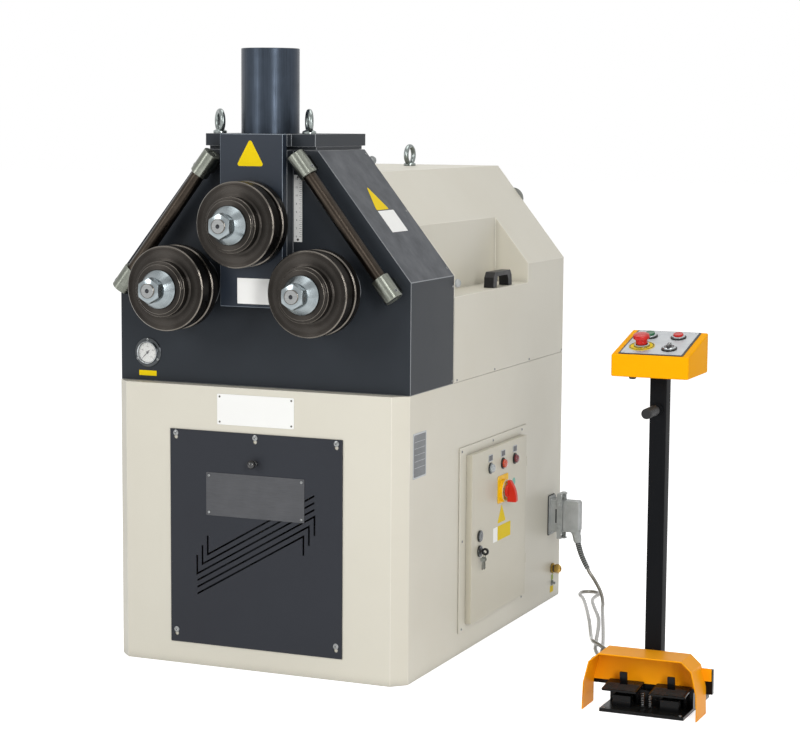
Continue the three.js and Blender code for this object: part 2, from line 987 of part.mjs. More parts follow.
function rollNut() {
  const corner = nutAcrossFlats / Math.sqrt(3);
  const outline = Array.from({ length: 6 }, (_, i) => {
    const angle = (i * Math.PI) / 3;
    return [corner * Math.cos(angle), corner * Math.sin(angle)];
  });
  const hex = prism(outline, "xz", [nutFront, nutFront + nutHeight]);
  const hole = rod(
    [0, nutFront - overrun, 0],
    [0, nutFront + nutHeight + overrun, 0],
    threadBore,
    medium,
  );
  return cut(hex, hole);
}

function rollShaft(collarLength, rear) {
  const tip = nutFront - threadTip;
  const shoulder = noseFront + threadStart;
  return turned(
    [
      [0, tip],
      [threadDiameter / 2 - threadEdge, tip],
      [threadDiameter / 2, tip + threadEdge],
      [threadDiameter / 2, shoulder],
      [shaftDiameter / 2, shoulder],
      [shaftDiameter / 2, seam],
      [collarDiameter / 2, seam],
      [collarDiameter / 2, collarLength],
      [shaftDiameter / 2, collarLength],
      [shaftDiameter / 2, rear],
      [0, rear],
    ],
    medium,
  );
}

function roll(prefix, x, z, collarLength, rear) {
  return groupAt(
    [x, discBack, z],
    mesh(prefix + "_shaft", rollShaft(collarLength, rear), "brightSteel"),
    mesh(prefix + "_back_disc", backDisc(), "turnedSteel"),
    mesh(prefix + "_front_disc", frontDisc(), "turnedSteel"),
    mesh(prefix + "_cone_washer", coneWasher(), "zinc"),
    mesh(prefix + "_nut", rollNut(), "zinc"),
  );
}

const lowerCollar = rollReach - bearingFlangeDepth - running;
const lowerRear = rollReach + headDepth + seam + shaftGrip;
const topCollar = rollReach - ramReach - running;
const topRear = crossheadBack - discBack + seam + shaftGrip;

object.add(
  roll("left_roll", -lowerRollSpacing / 2, lowerRollZ, lowerCollar, lowerRear),
  roll("right_roll", lowerRollSpacing / 2, lowerRollZ, lowerCollar, lowerRear),
  roll("top_roll", 0, topRollZ, topCollar, topRear),
);

// The guide bars: a bar along the group's X, from its upper socket to its lower one
function guideBar(side, name) {
  const top = [side * (headTopWidth / 2 - barTopInset), headTop - barTopDrop];
  const bottom = [side * (cabinetWidth / 2 - barBottomInset), cabinetHeight + barBottomHeight];
  const length = Math.hypot(bottom[0] - top[0], bottom[1] - top[1]);
  const bore = boreFor(barDiameter / 2, medium);
  const bar = rod([socketFloor + seam, 0, 0], [length - socketFloor - seam, 0, 0], barDiameter / 2, medium);
  const socket = (outer, inner) => {
    const towards = Math.sign(inner - outer);
    const footStart = outer + (towards * (socketLength - socketFootLength)) / 2;
    const foot = block(
      [footStart, footStart + towards * socketFootLength].sort((a, b) => a - b),
      [0, barReach - seam],
      middle(0, socketFootWidth),
    );
    const body = rod([outer, 0, 0], [outer + towards * socketLength, 0, 0], socketDiameter / 2, medium);
    const hole = rod([outer + towards * socketFloor, 0, 0], [inner, 0, 0], bore, medium);
    return cut(join(body, foot), hole);
  };
  const group = groupAt(
    [top[0], headFace - barReach, top[1]],
    mesh("guide_bar_" + name, bar, "barSteel"),
    mesh("bar_socket_upper_" + name, socket(0, length), "brightSteel"),
    mesh("bar_socket_lower_" + name, socket(length, 0), "brightSteel"),
  );
  group.rotation.y = Math.atan2(top[1] - bottom[1], bottom[0] - top[0]);
  return group;
}

object.add(guideBar(-1, "left"), guideBar(1, "right"));

// The lifting eyes
function eyeBolt(name, position, turn) {
  const torus = new THREE.TorusGeometry(eyeRingRadius, eyeWireRadius, tiny - 2, medium);
  const ringHeight = eyeHeight - eyeRingRadius - eyeWireRadius;
  const ring = solid(torus.rotateY(Math.PI / 2)).translate([0, 0, ringHeight]);
  const under = block(middle(0, 4 * eyeWireRadius), middle(0, 4 * eyeRingRadius), [-eyeWireRadius, seam]);
  const seat = rod([0, 0, seam], [0, 0, eyeSeatHeight], eyeSeatRadius, small);
  const neck = rod(
    [0, 0, eyeSeatHeight / 2],
    [0, 0, eyeSeatHeight + eyeWireRadius],
    eyeSeatRadius,
    small,
    eyeNeckRadius,
  );
  const bolt = join(seat, cut(neck, ringOpening(ringHeight)), cut(ring, under));
  const group = groupAt(position, mesh(name, bolt, "zinc"));
  group.rotation.z = THREE.MathUtils.degToRad(turn);
  return group;
}

// The open middle of an eye, which its neck doesn't fill
function ringOpening(height) {
  const reach = eyeSeatRadius + overrun;
  return rod([-reach, 0, height], [reach, 0, height], eyeRingRadius, small);
}

const frontEyeX = capWidth / 2 - eyeInset;
const frontEyeY = capFront + eyeSetback;

object.add(
  eyeBolt("eye_bolt_front_left", [-frontEyeX, frontEyeY, capTop], leftEyeTurn),
  eyeBolt("eye_bolt_front_right", [frontEyeX, frontEyeY, capTop], rightEyeTurn),
  eyeBolt("eye_bolt_rear", [0, back - rearEyeFromBack, cabinetHeight + coverHeight], rearEyeTurn),
);

// The pressure gauge in the head's face, and its needle on the case's pin
function gaugeCase() {
  const flangeRadius = gaugeFlangeDiameter / 2;
  const face = -seam - gaugeFlange;
  const dial = gaugeDialDiameter / 2;
  const body = turned(
    [
      [0, face + gaugeDialDepth],
      [dial, face + gaugeDialDepth],
      [dial, face],
      [flangeRadius - seam, face],
      [flangeRadius, face + gaugeFlange / 2],
      [flangeRadius, -seam],
      [gaugeBodyDiameter / 2, -seam],
      [gaugeBodyDiameter / 2, gaugeBodyLength],
      [0, gaugeBodyLength],
    ],
    medium,
  );
  const pin = rod([0, 0, 0], [0, face + gaugeDialDepth / 4, 0], needlePinRadius, tiny);
  return join(body, pin);
}

function gaugeNeedle() {
  const rear = -seam - gaugeFlange + gaugeDialDepth - seam;
  const y = [rear - needleThickness, rear];
  const pointer = block([-needleWidth / 2, needleWidth / 2], y, [-needleTail, needleLength]);
  const hub = rod([0, y[0], 0], [0, y[1], 0], needleHubRadius, tiny);
  const hole = rod([0, y[0] - overrun, 0], [0, y[1] + overrun, 0], boreFor(needlePinRadius, tiny), tiny);
  return cut(join(pointer, hub), hole);
}

const needle = mesh("gauge_needle", gaugeNeedle(), "black");
const needleRest = -135; // degrees from upright, clockwise as the operator sees it
needle.rotation.y = THREE.MathUtils.degToRad(needleRest);
object.add(groupAt([gaugeX, headFace, gaugeZ], mesh("gauge_case", gaugeCase(), "black"), needle));

// The rear cover, with the recess in its right side
function coverOutline(bottom) {
  const shoulder = cabinetHeight + coverShoulder;
  const ridge = cabinetHeight + coverHeight;
  return [
    [left, bottom],
    [right, bottom],
    [right, shoulder],
    [coverRidgeWidth / 2, ridge],
    [-coverRidgeWidth / 2, ridge],
    [left, shoulder],
  ];
}

const coverFront = headBack + seam;
const recessZ = cabinetHeight + recessFloor;
const recessX = right - recessWidth;
const recessY = headBack + recessBack;

function rearCover() {
  const recess = (wall) =>
    block(
      [recessX - wall, right + overrun],
      [coverFront - overrun, recessY + wall],
      [recessZ - wall, cabinetHeight + coverHeight],
    );
  const outside = cut(prism(coverOutline(deck), "xz", [coverFront, back]), recess(0));
  const inside = cut(
    prism(inset(coverOutline(deck - coverSheet - overrun), coverSheet), "xz", [
      coverFront - overrun,
      back - coverSheet,
    ]),
    recess(coverSheet),
  );
  return cut(outside, inside);
}

function breather() {
  return join(
    rod([0, seam, 0], [0, breatherFlange, 0], breatherRadius, medium),
    rod([0, breatherFlange / 2, 0], [0, breatherFlange + breatherCap, 0], breatherCapRadius, medium),
  );
}

// The bridge handle that stands on the recess's floor
function coverHandle() {
  const half = handleLength / 2;
  const bridge = prism(
    [
      [-half, seam],
      [half, seam],
      [half - handleBar / 2, handleHeight],
      [-half + handleBar / 2, handleHeight],
    ],
    "yz",
    middle(0, handleWidth),
  );
  const gap = prism(
    [
      [-half + handleFoot, -overrun],
      [half - handleFoot, -overrun],
      [half - handleFoot, handleHeight - handleBar],
      [-half + handleFoot, handleHeight - handleBar],
    ],
    "yz",
    middle(0, handleWidth + 2 * overrun),
  );
  return cut(bridge, gap);
}

object.add(
  mesh("rear_cover", rearCover(), "cream"),
  groupAt(
    [breatherFromMiddle, back, cabinetHeight + breatherHeight],
    mesh("rear_breather", breather(), "grey"),
  ),
  groupAt(
    [right - handleFromSide, recessY - handleFromBack - handleLength / 2, recessZ],
    mesh("cover_handle", coverHandle(), "black"),
  ),
);

// The door's frame and the door, which swings on two hinges at its back edge
const doorFace = right + doorProud;
const doorRear = right + seam + framePlate + seam;
const doorZ = [doorBottom, doorBottom + doorHeight];
const hingeX = doorFace - hingeRadius;
const hingeY = doorBackY + hingeRadius + seam;
const hingeStarts = [doorZ[0] + hingeInset, doorZ[1] - hingeInset - 2 * hingeKnuckle - seam];

function doorFrame() {
  const x = [right + seam, right + seam + framePlate];
  const plate = block(x, frameY, frameZ);
  const opening = block([x[0] - overrun, x[1] + overrun], doorwayY, doorwayZ);
  const knuckles = hingeStarts.flatMap((z) => [
    rod([hingeX, hingeY, z], [hingeX, hingeY, z + hingeKnuckle], hingeRadius, tiny),
    block([x[1] - framePlate / 2, hingeX], [hingeY, hingeY + hingeRadius], [z, z + hingeKnuckle]),
    rod([hingeX, hingeY, z], [hingeX, hingeY, z + 2 * hingeKnuckle], hingePinRadius, tiny),
  ]);
  return join(cut(plate, opening), ...knuckles);
}

const switchY = doorFrontY + switchFromDoorFront;
const lockY = doorFrontY + lockFromDoorFront;

function cabinetDoor() {
  const pan = block([doorRear, doorFace], [doorFrontY, doorBackY], doorZ);
  const hollow = block(
    [doorRear - overrun, doorFace - doorSheet],
    [doorFrontY + doorSheet, doorBackY - doorSheet],
    [doorZ[0] + doorSheet, doorZ[1] - doorSheet],
  );
  const collar = rod(
    [doorFace - doorSheet, switchY, switchHeight],
    [doorFace + switchCollar, switchY, switchHeight],
    switchCollarRadius,
    medium,
  );
  const locks = [upperLockHeight, lowerLockHeight].map((z) =>
    rod([doorFace - doorSheet, lockY, z], [doorFace + lockProud, lockY, z], lockRadius, small),
  );
  const pinBore = boreFor(hingePinRadius, tiny);
  const knuckles = hingeStarts.flatMap((start) => {
    const z = [start + hingeKnuckle + seam, start + 2 * hingeKnuckle];
    return [
      rod([hingeX, hingeY, z[0]], [hingeX, hingeY, z[1]], hingeRadius, tiny),
      block([hingeX - hingeRadius, hingeX], [doorBackY - doorSheet / 2, hingeY], z),
    ];
  });
  const bores = hingeStarts.map((z) =>
    rod([hingeX, hingeY, z + hingeKnuckle], [hingeX, hingeY, z + 2 * hingeKnuckle + overrun], pinBore, tiny),
  );
  return cut(join(cut(pan, hollow), collar, ...locks, ...knuckles), ...bores);
}

// The main switch's grip, a fin on a hub, and the key in the lower lock
function switchGrip() {
  const hub = rod([seam, 0, 0], [gripRoot, 0, 0], gripHubRadius, medium);
  const fin = prism(
    [
      [gripRoot / 2, -gripHeight / 2],
      [gripBottomReach, -gripHeight / 2],
      [gripBottomReach, -gripHeight / 4],
      [(gripBottomReach + gripTopReach) / 2 + gripRoot / 2, gripHeight / 4],
      [gripTopReach, gripHeight / 2],
      [gripRoot / 2, gripHeight / 2],
    ],
    "xz",
    middle(0, gripThickness),
  );
  return join(hub, fin);
}

function doorKey() {
  const shank = rod([seam, 0, 0], [keyShank + keyBowRadius, 0, 0], keyShankRadius, tiny);
  const centre = keyShank + keyBowRadius;
  const bow = rod(
    [centre, -keyBowThickness / 2, 0],
    [centre, keyBowThickness / 2, 0],
    keyBowRadius,
    small,
  );
  return join(shank, bow);
}

object.add(
  mesh("door_frame", doorFrame(), "cream"),
  mesh("cabinet_door", cabinetDoor(), "cream"),
  groupAt([doorFace + switchCollar, switchY, switchHeight], mesh("main_switch_grip", switchGrip(), "red")),
  groupAt([doorFace + lockProud, lockY, lowerLockHeight], mesh("door_key", doorKey(), "black")),
);

// The plug connector: a housing on the wall, the cable's hood in it and two locking levers
const connectorY = back - connectorFromBack;
const connectorZ = connectorBottom + connectorHeight / 2;
const boxFace = right + connectorFlange + connectorBoxReach;
const leverPivotX = right + leverPivotFromWall;

function leverPivots() {
  return [connectorBottom + leverPivotInset, connectorBottom + connectorHeight - leverPivotInset];
}

function connectorBase() {
  const flange = block(
    [right + seam, right + connectorFlange],
    middle(connectorY, connectorFlangeDepth),
    [connectorBottom, connectorBottom + connectorHeight],
  );
  const box = block(
    [right + connectorFlange / 2, boxFace],
    middle(connectorY, connectorBoxDepth),
    middle(connectorZ, connectorBoxHeight),
  );
  const reach = connectorBoxDepth / 2 + seam + leverThickness + seam;
  const pins = leverPivots().flatMap((z) => [
    rod([leverPivotX, connectorY - reach, z], [leverPivotX, connectorY + reach, z], leverPinRadius, tiny),
    rod(
      [leverPivotX, connectorY - reach, z],
      [leverPivotX, connectorY - reach - leverPinHead / 2, z],
      leverPinHead,
      tiny,
    ),
    rod(
      [leverPivotX, connectorY + reach, z],
      [leverPivotX, connectorY + reach + leverPinHead / 2, z],
      leverPinHead,
      tiny,
    ),
  ]);
  return join(flange, box, ...pins);
}

// The hood, its gland and the relief that the cable leaves by
const glandTop = [right + glandFromWall, connectorY, connectorZ - hoodHeight / 2];
const glandTip = [glandTop[0] + glandLean, connectorY, glandTop[2] - glandLength];
const reliefTip = [glandTip[0] + reliefLean, connectorY, glandTip[2] - reliefDrop];

function connectorHood() {
  const x = [boxFace + seam, boxFace + hoodReach];
  const low = connectorZ - hoodHeight / 2;
  const high = connectorZ + hoodHeight / 2;
  const hood = prism(
    [
      [x[0], low],
      [x[1] - hoodChamfer, low],
      [x[1], low + hoodChamfer],
      [x[1], high - hoodChamfer],
      [x[1] - hoodChamfer, high],
      [x[0], high],
    ],
    "xz",
    middle(connectorY, hoodDepth),
  );
  const root = [glandTop[0] - glandLean / 2, connectorY, glandTop[2] + glandLength / 2];
  const relief = [(root[0] + glandTip[0]) / 2, connectorY, (root[2] + glandTip[2]) / 2];
  return join(
    hood,
    rod(root, glandTip, glandRootRadius, small, glandRadius),
    rod(relief, reliefTip, reliefRadius, tiny, reliefTipRadius),
  );
}

// A locking lever: two arms on the housing's pins and the bar between them, over the hood's end
function lockingLever(end) {
  const arms = [-1, 1].map((side) => {
    const near = connectorY + side * (connectorBoxDepth / 2 + seam);
    const y = [near, near + side * leverThickness].sort((a, b) => a - b);
    const eye = rod([0, y[0], 0], [0, y[1], 0], leverWidth / 2, small);
    const arm = block(middle(0, leverWidth), y, [0, end * leverArm].sort((a, b) => a - b));
    const hole = rod([0, y[0] - overrun, 0], [0, y[1] + overrun, 0], boreFor(leverPinRadius, tiny), tiny);
    return cut(join(eye, arm), hole);
  });
  const bar = block(
    middle(0, leverWidth),
    middle(connectorY, connectorBoxDepth + 2 * (seam + leverThickness)),
    [end * leverArm, end * (leverArm + leverThickness)].sort((a, b) => a - b),
  );
  return join(...arms, bar);
}

const [lowerPivot, upperPivot] = leverPivots();

object.add(
  mesh("connector_base", connectorBase(), "grey"),
  mesh("connector_hood", connectorHood(), "grey"),
  groupAt([leverPivotX, 0, lowerPivot], mesh("locking_lever_lower", lockingLever(-1), "brightSteel")),
  groupAt([leverPivotX, 0, upperPivot], mesh("locking_lever_upper", lockingLever(1), "brightSteel")),
);

// The control cable: down from the gland to the floor, back and forth in a long loop, and on to the pedestal
const inletMouth = [
  pedestalX + inletX,
  front + pedestalFromFront + footBack + inletLength + cableGap,
  inletZ,
];
const cableStart = [reliefTip[0], connectorY, reliefTip[2] - cableGap];
const cableRoute = [
  cableStart,
  [cableStart[0] + 5, cableStart[1], cableStart[2] - 10],
  [537, front + 1083, 69],
  [562, front + 1062, 42],
  [581, front + 1024, 22],
  [592, front + 988, cableFloor + 7],
  [628, front + 880, cableFloor + 1],
  [665, front + 768, cableFloor],
  [700, front + 658, cableFloor],
  [722, front + 585, cableFloor],
  [741, front + 520, cableFloor],
  [749.5, front + 505.5, cableFloor],
  [764.5, front + 481, cableFloor],
  [781, front + 470, cableFloor],
  [799, front + 446.5, cableFloor],
  [796.5, front + 426.5, cableFloor],
  [777, front + 413, cableFloor],
  [752.5, front + 419.5, cableFloor],
  [737.5, front + 456, cableFloor],
  [742, front + 480, cableFloor],
  [726, front + 520, cableFloor],
  [713, front + 550, cableFloor],
  [700.5, front + 592, cableFloor],
  [682, front + 655, cableFloor],
  [615, front + 880, cableFloor],
  [522, front + 1113.5, cableFloor],
  [517, front + 1160, cableFloor],
  [516.5, front + 1193, cableFloor],
  [503.5, front + 1209.5, cableFloor],
  [486, front + 1213.5, cableFloor],
  [470, front + 1206.5, cableFloor],
  [462, front + 1191.5, cableFloor],
  [467, front + 1162, cableFloor],
  [490, front + 1121, cableFloor],
  [587, front + 880, cableFloor],
  [664, front + 665, cableFloor + 2],
  [679, front + 624, cableFloor + 7],
  [696, front + 587, cableOver],
  [727, front + 551, cableOver],
  [766, front + 512, cableFloor + 5],
  [855, front + 414, cableFloor + 1],
  [inletMouth[0], inletMouth[1] + 20, inletZ - 1],
  inletMouth,
];

function controlCable() {
  const route = new THREE.CatmullRomCurve3(
    cableRoute.map((point) => new THREE.Vector3(...point)),
    false,
    "centripetal",
  );
  const section = Array.from({ length: cableSides }, (_, i) => {
    const angle = (i * 2 * Math.PI) / cableSides;
    return [(cableDiameter / 2) * Math.cos(angle), (cableDiameter / 2) * Math.sin(angle)];
  });
  const options = { steps: cableSteps, bevelEnabled: false, extrudePath: route };
  return solid(new THREE.ExtrudeGeometry(shapeOf(section), options));
}

object.add(mesh("control_cable", controlCable(), "cableGrey"));

// The pedestal stands in a frame of its own: the column's middle, on the floor
const guardBack = -columnSide / 2 - columnClear;
const guardFront = guardBack - guardDepth;

function pedalCentres() {
  return [-pedalSpacing / 2, pedalSpacing / 2];
}

// The foot: floor plate, crossbar, the column's socket, pedal bearings, switch blocks and cable inlet
function pedalBase() {
  const plate = block(middle(0, footWidth), [-footFront, footBack], [0, footPlate]);
  const hold = columnSide / 2 + columnClear;
  const crossbarY = [guardBack + seam, guardBack + seam + crossbarThickness];
  const web = block(middle(0, footWidth - 2 * seam), crossbarY, [footPlate / 2, crossbarTop]);
  const crossbar = block(middle(0, crossbarWidth), crossbarY, [crossbarBottom, crossbarTop]);
  const ring = block(
    middle(0, 2 * (hold + socketRing)),
    middle(0, 2 * (hold + socketRing)),
    [footPlate / 2, footPlate + socketRingHeight],
  );
  const hole = block(middle(0, 2 * hold), middle(0, 2 * hold), [footPlate, crossbarTop + overrun]);
  const ears = pedalCentres().flatMap((x) =>
    [-1, 1].flatMap((side) => {
      const y = [-pedalAxleInset - 2 * pedalAxleRadius, -pedalAxleInset + 2 * pedalAxleRadius];
      const ear = block(
        middle(x + (side * pedalEarSpacing) / 2, pedalEarThickness),
        y,
        [footPlate / 2, pedalAxleHeight],
      );
      return [ear];
    }),
  );
  const axles = pedalCentres().map((x) =>
    rod(
      [x - pedalEarSpacing / 2, -pedalAxleInset, pedalAxleHeight],
      [x + pedalEarSpacing / 2, -pedalAxleInset, pedalAxleHeight],
      pedalAxleRadius,
      tiny,
    ),
  );
  const switches = pedalCentres().map((x) =>
    block(
      middle(x, switchBlockWidth),
      [-pedalAxleInset - switchBlockInset, -pedalAxleInset - switchBlockInset + switchBlockDepth / 2],
      [footPlate / 2, footPlate + switchBlockHeight],
    ),
  );
  const inlet = rod(
    [inletX, footBack - inletBlock, inletZ],
    [inletX, footBack + inletLength, inletZ],
    inletRadius,
    small,
  );
  const inletFoot = block(
    middle(inletX, 2 * inletRadius),
    [footBack - inletBlock, footBack],
    [footPlate / 2, inletZ],
  );
  return join(cut(join(plate, web, crossbar, ring), hole), ...ears, ...axles, ...switches, inlet, inletFoot);
}

// The sheet guard over the pedals, bent from one strip, with its back wall
function guardProfile() {
  return [
    [-guardFootWidth / 2, 0],
    [guardFootWidth / 2, 0],
    [guardWaistWidth / 2, guardWaist],
    [guardShoulderWidth / 2, guardShoulder],
    [guardTopWidth / 2, guardHeight],
    [-guardTopWidth / 2, guardHeight],
    [-guardShoulderWidth / 2, guardShoulder],
    [-guardWaistWidth / 2, guardWaist],
  ];
}

function pedalGuard() {
  const outer = prism(guardProfile(), "xz", [guardFront, guardBack]);
  const inner = prism(inset(guardProfile(), guardSheet), "xz", [
    guardFront - overrun,
    guardBack - guardSheet,
  ]);
  const under = block(
    middle(0, guardFootWidth - 2 * guardSheet),
    [guardFront - overrun, guardBack - guardSheet],
    [-overrun, guardWaist / 2],
  );
  const backGap = block(
    middle(0, guardFootWidth - 2 * guardSheet),
    [guardBack - guardSheet - overrun, guardBack + overrun],
    [-overrun, guardBackBottom],
  );
  const ear = block(
    [guardWaistWidth / 2 - guardEarReach, guardWaistWidth / 2 + guardEarReach],
    [guardBack - guardSheet, guardBack],
    [guardEarBottom, guardEarBottom + guardEarHeight],
  );
  return join(cut(outer, inner, under, backGap), ear).translate([guardOffset, 0, 0]);
}

// A pedal: its tread, two bearing lugs on the axle and the upright toe tab
function pedal(name, x) {
  const tread = block(
    middle(0, pedalWidth),
    [-pedalLength, pedalAxleRadius],
    [pedalLift, pedalLift + pedalThickness],
  );
  const lugSpan = pedalEarSpacing - pedalEarThickness - 2 * running;
  const lug = rod([-lugSpan / 2, 0, 0], [lugSpan / 2, 0, 0], pedalLugRadius, small);
  const bore = rod([-lugSpan, 0, 0], [lugSpan, 0, 0], boreFor(pedalAxleRadius, tiny), tiny);
  const earRoom = [-1, 1].map((side) =>
    block(
      middle((side * pedalEarSpacing) / 2, pedalEarThickness + 4 * running),
      [-2 * pedalAxleRadius - 4 * running, 2 * pedalAxleRadius + 4 * running],
      [-2 * pedalAxleRadius, pedalAxleRadius + 4 * running],
    ),
  );
  const tab = block(
    middle(0, pedalTabWidth),
    [-pedalTabInset - pedalTabThickness, -pedalTabInset],
    [pedalLift + pedalThickness / 2, pedalLift + pedalThickness + pedalTabHeight],
  );
  const body = join(cut(join(tread, lug), bore, ...earRoom), tab);
  const group = groupAt([x, -pedalAxleInset, pedalAxleHeight], mesh(name, body, "black"));
  group.rotation.x = THREE.MathUtils.degToRad(pedalDrop);
  return group;
}

// A square section with round corners
function roundedSquare(side, corner) {
  const half = side / 2;
  const shape = new THREE.Shape();
  const corners = [
    [1, -1, -Math.PI / 2],
    [1, 1, 0],
    [-1, 1, Math.PI / 2],
    [-1, -1, Math.PI],
  ];
  for (const [sx, sy, start] of corners) {
    shape.absarc(sx * (half - corner), sy * (half - corner), corner, start, start + Math.PI / 2, false);
  }
  return shape;
}

// The column, a square tube open at the top, with the boss that the clamp screws into
function columnTube() {
  const z = [footPlate + seam, boxBottom - seam];
  const outer = prism(roundedSquare(columnSide, columnCorner), "xy", z);
  const boss = rod(
    [0, -columnSide / 2 + columnWall / 2, clampHeight],
    [0, -columnSide / 2 - clampBoss, clampHeight],
    clampBossRadius,
    small,
  );
  const inner = prism(roundedSquare(columnSide - 2 * columnWall, columnCorner - columnWall), "xy", [
    z[0] - overrun,
    z[1] + overrun,
  ]);
  return join(cut(outer, inner), boss);
}

// The control box with its sloped panel, and the stem that slides in the column
const panelSlope = Math.atan2(boxRearHeight - boxFrontHeight, boxDepth);
const panelNormal = new THREE.Vector3(0, -Math.sin(panelSlope), Math.cos(panelSlope));

// The place on the sloped panel at an x and a distance up the slope, and so far above it
function onPanel(x, up, above) {
  const along = new THREE.Vector3(0, Math.cos(panelSlope), Math.sin(panelSlope));
  const corner = new THREE.Vector3(x, -boxFront, boxBottom + boxFrontHeight);
  return corner.addScaledVector(along, up).addScaledVector(panelNormal, above).toArray();
}

function panelHole(x, up, radius) {
  return rod(onPanel(x, up, -boxSheet - overrun), onPanel(x, up, overrun), radius, small);
}

function controlBox() {
  const profile = [
    [-boxFront, boxBottom],
    [boxDepth - boxFront, boxBottom],
    [boxDepth - boxFront, boxBottom + boxRearHeight],
    [-boxFront, boxBottom + boxFrontHeight],
  ];
  const outer = prism(profile, "yz", middle(0, boxWidth));
  const inner = prism(inset(profile, boxSheet), "yz", middle(0, boxWidth - 2 * boxSheet));
  const stemSide = columnSide - 2 * columnWall - 2 * stemClear;
  const stem = block(
    middle(0, stemSide),
    middle(0, stemSide),
    [boxBottom - stemLength, boxBottom + boxSheet / 2],
  );
  const clearance = boreFor(buttonRadius, small);
  return cut(
    join(cut(outer, inner), stem),
    panelHole(buttonLeft, buttonRow, clearance),
    panelHole(buttonRight, buttonRow, clearance),
    panelHole(buttonRight, jogRow, clearance),
    panelHole(buttonLeft, stopRow, boreFor(stopStemRadius, small)),
  );
}

function pushButton(x, up) {
  return rod(onPanel(x, up, -buttonRoot), onPanel(x, up, buttonProud), buttonRadius, small);
}

function emergencyStop() {
  const at = (above) => onPanel(buttonLeft, stopRow, above);
  const neckStart = stopStemHeight;
  const headStart = neckStart + stopNeckHeight;
  return join(
    rod(at(-buttonRoot), at(neckStart + stopNeckHeight / 2), stopStemRadius, small),
    rod(at(neckStart), at(headStart + stopHeadHeight / 2), stopNeckRadius, medium),
    rod(at(headStart), at(headStart + stopHeadHeight), stopHeadRadius, medium),
  );
}

function jogSelector() {
  const base = rod(
    onPanel(buttonRight, jogRow, -buttonRoot),
    onPanel(buttonRight, jogRow, jogBaseHeight),
    buttonRadius,
    small,
  );
  const grip = new THREE.BoxGeometry(jogGripWidth, 2 * buttonRadius * Math.cos(Math.PI / 8), jogGripHeight);
  grip.rotateX(panelSlope);
  grip.translate(...onPanel(buttonRight, jogRow, jogBaseHeight + jogGripHeight / 4));
  return join(base, solid(grip));
}

// The clamp that holds the box at its height: neck and hand grip towards the operator
function clampKnob() {
  const start = -columnSide / 2 - clampBoss - seam;
  const gripStart = start - clampNeck;
  const end = gripStart - clampGrip;
  return turned(
    [
      [0, end],
      [clampGripRadius - clampEdge, end],
      [clampGripRadius, end + clampEdge],
      [clampGripRadius, gripStart - clampEdge],
      [clampGripRadius - clampEdge, gripStart],
      [clampNeckRadius, gripStart],
      [clampNeckRadius, start],
      [0, start],
    ],
    small,
  );
}

const [leftPedalX, rightPedalX] = pedalCentres();

object.add(
  groupAt(
    [pedestalX, front + pedestalFromFront, 0],
    mesh("pedal_base", pedalBase(), "black"),
    mesh("pedal_guard", pedalGuard(), "orange"),
    pedal("pedal_left", leftPedalX),
    pedal("pedal_right", rightPedalX),
    mesh("column_tube", columnTube(), "black"),
    mesh("control_box", controlBox(), "yellow"),
    mesh("start_button", pushButton(buttonLeft, buttonRow), "green"),
    mesh("stop_button", pushButton(buttonRight, buttonRow), "red"),
    mesh("emergency_stop", emergencyStop(), "red"),
    mesh("jog_selector", jogSelector(), "black"),
    groupAt([0, 0, clampHeight], mesh("clamp_knob", clampKnob(), "black")),
  ),
);

export default object;
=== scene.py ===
"""The looks of a hydraulic ring roller and the control pedestal on its cable, built round the CAD frame.

Sizes are in millimetres of the machine's own measures: x to the operator's right from its middle, y back
from the cabinet's front wall and z up from the floor. place() takes them to the row frame, in metres.
"""

import logging
from contextlib import contextmanager
from dataclasses import dataclass
from enum import Enum
from functools import cached_property
from math import atan2, cos, pi, radians, sin, tan
from typing import Iterator, Sequence

import bmesh
import bpy
from mathutils import Matrix, Vector


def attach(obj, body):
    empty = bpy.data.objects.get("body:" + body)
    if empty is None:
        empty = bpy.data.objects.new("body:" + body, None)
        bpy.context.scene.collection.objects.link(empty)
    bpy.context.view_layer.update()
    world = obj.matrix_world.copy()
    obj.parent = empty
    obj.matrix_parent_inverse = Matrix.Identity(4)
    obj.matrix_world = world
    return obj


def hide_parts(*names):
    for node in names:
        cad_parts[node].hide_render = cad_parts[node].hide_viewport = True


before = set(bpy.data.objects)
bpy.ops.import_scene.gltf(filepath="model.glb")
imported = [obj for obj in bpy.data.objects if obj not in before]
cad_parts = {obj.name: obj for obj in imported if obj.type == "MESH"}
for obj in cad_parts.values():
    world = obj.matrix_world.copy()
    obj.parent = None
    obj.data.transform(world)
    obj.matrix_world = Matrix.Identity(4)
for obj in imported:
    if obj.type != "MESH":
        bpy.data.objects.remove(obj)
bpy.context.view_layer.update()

log = logging.getLogger("ring_roller")

MM = 0.001
FRONT_WALL = 0.584
SIDE_WALL = 400.0
FONT_BODY = 1.35

# Edges over the first angle are shaded hard, and those over the second one are rounded
SHARP = radians(32)
ROUNDED = radians(28)

# What lies nearer than this is one point: in metres on the CAD's solids, in millimetres on a form
WELD_GAP = 1e-5
MERGE_GAP = 1e-4
ON_AXIS = 1e-6

FRONT = Vector((0, -1, 0))
RIGHT = Vector((1, 0, 0))
UP = Vector((0, 0, 1))

Point = Sequence[float]
Pair = tuple[float, float]
Triple = tuple[float, float, float]
Outline = Sequence[Pair]
Socket = bpy.types.NodeSocket


def place(x: float, y: float, z: float) -> Vector:
    """A place in the machine's millimetres as a point of the row frame.

    Args:
        x: to the operator's right from the middle.
        y: back from the cabinet's front wall.
        z: up from the floor.

    Returns:
        The point in metres.
    """
    return Vector((x * MM, y * MM - FRONT_WALL, z * MM))


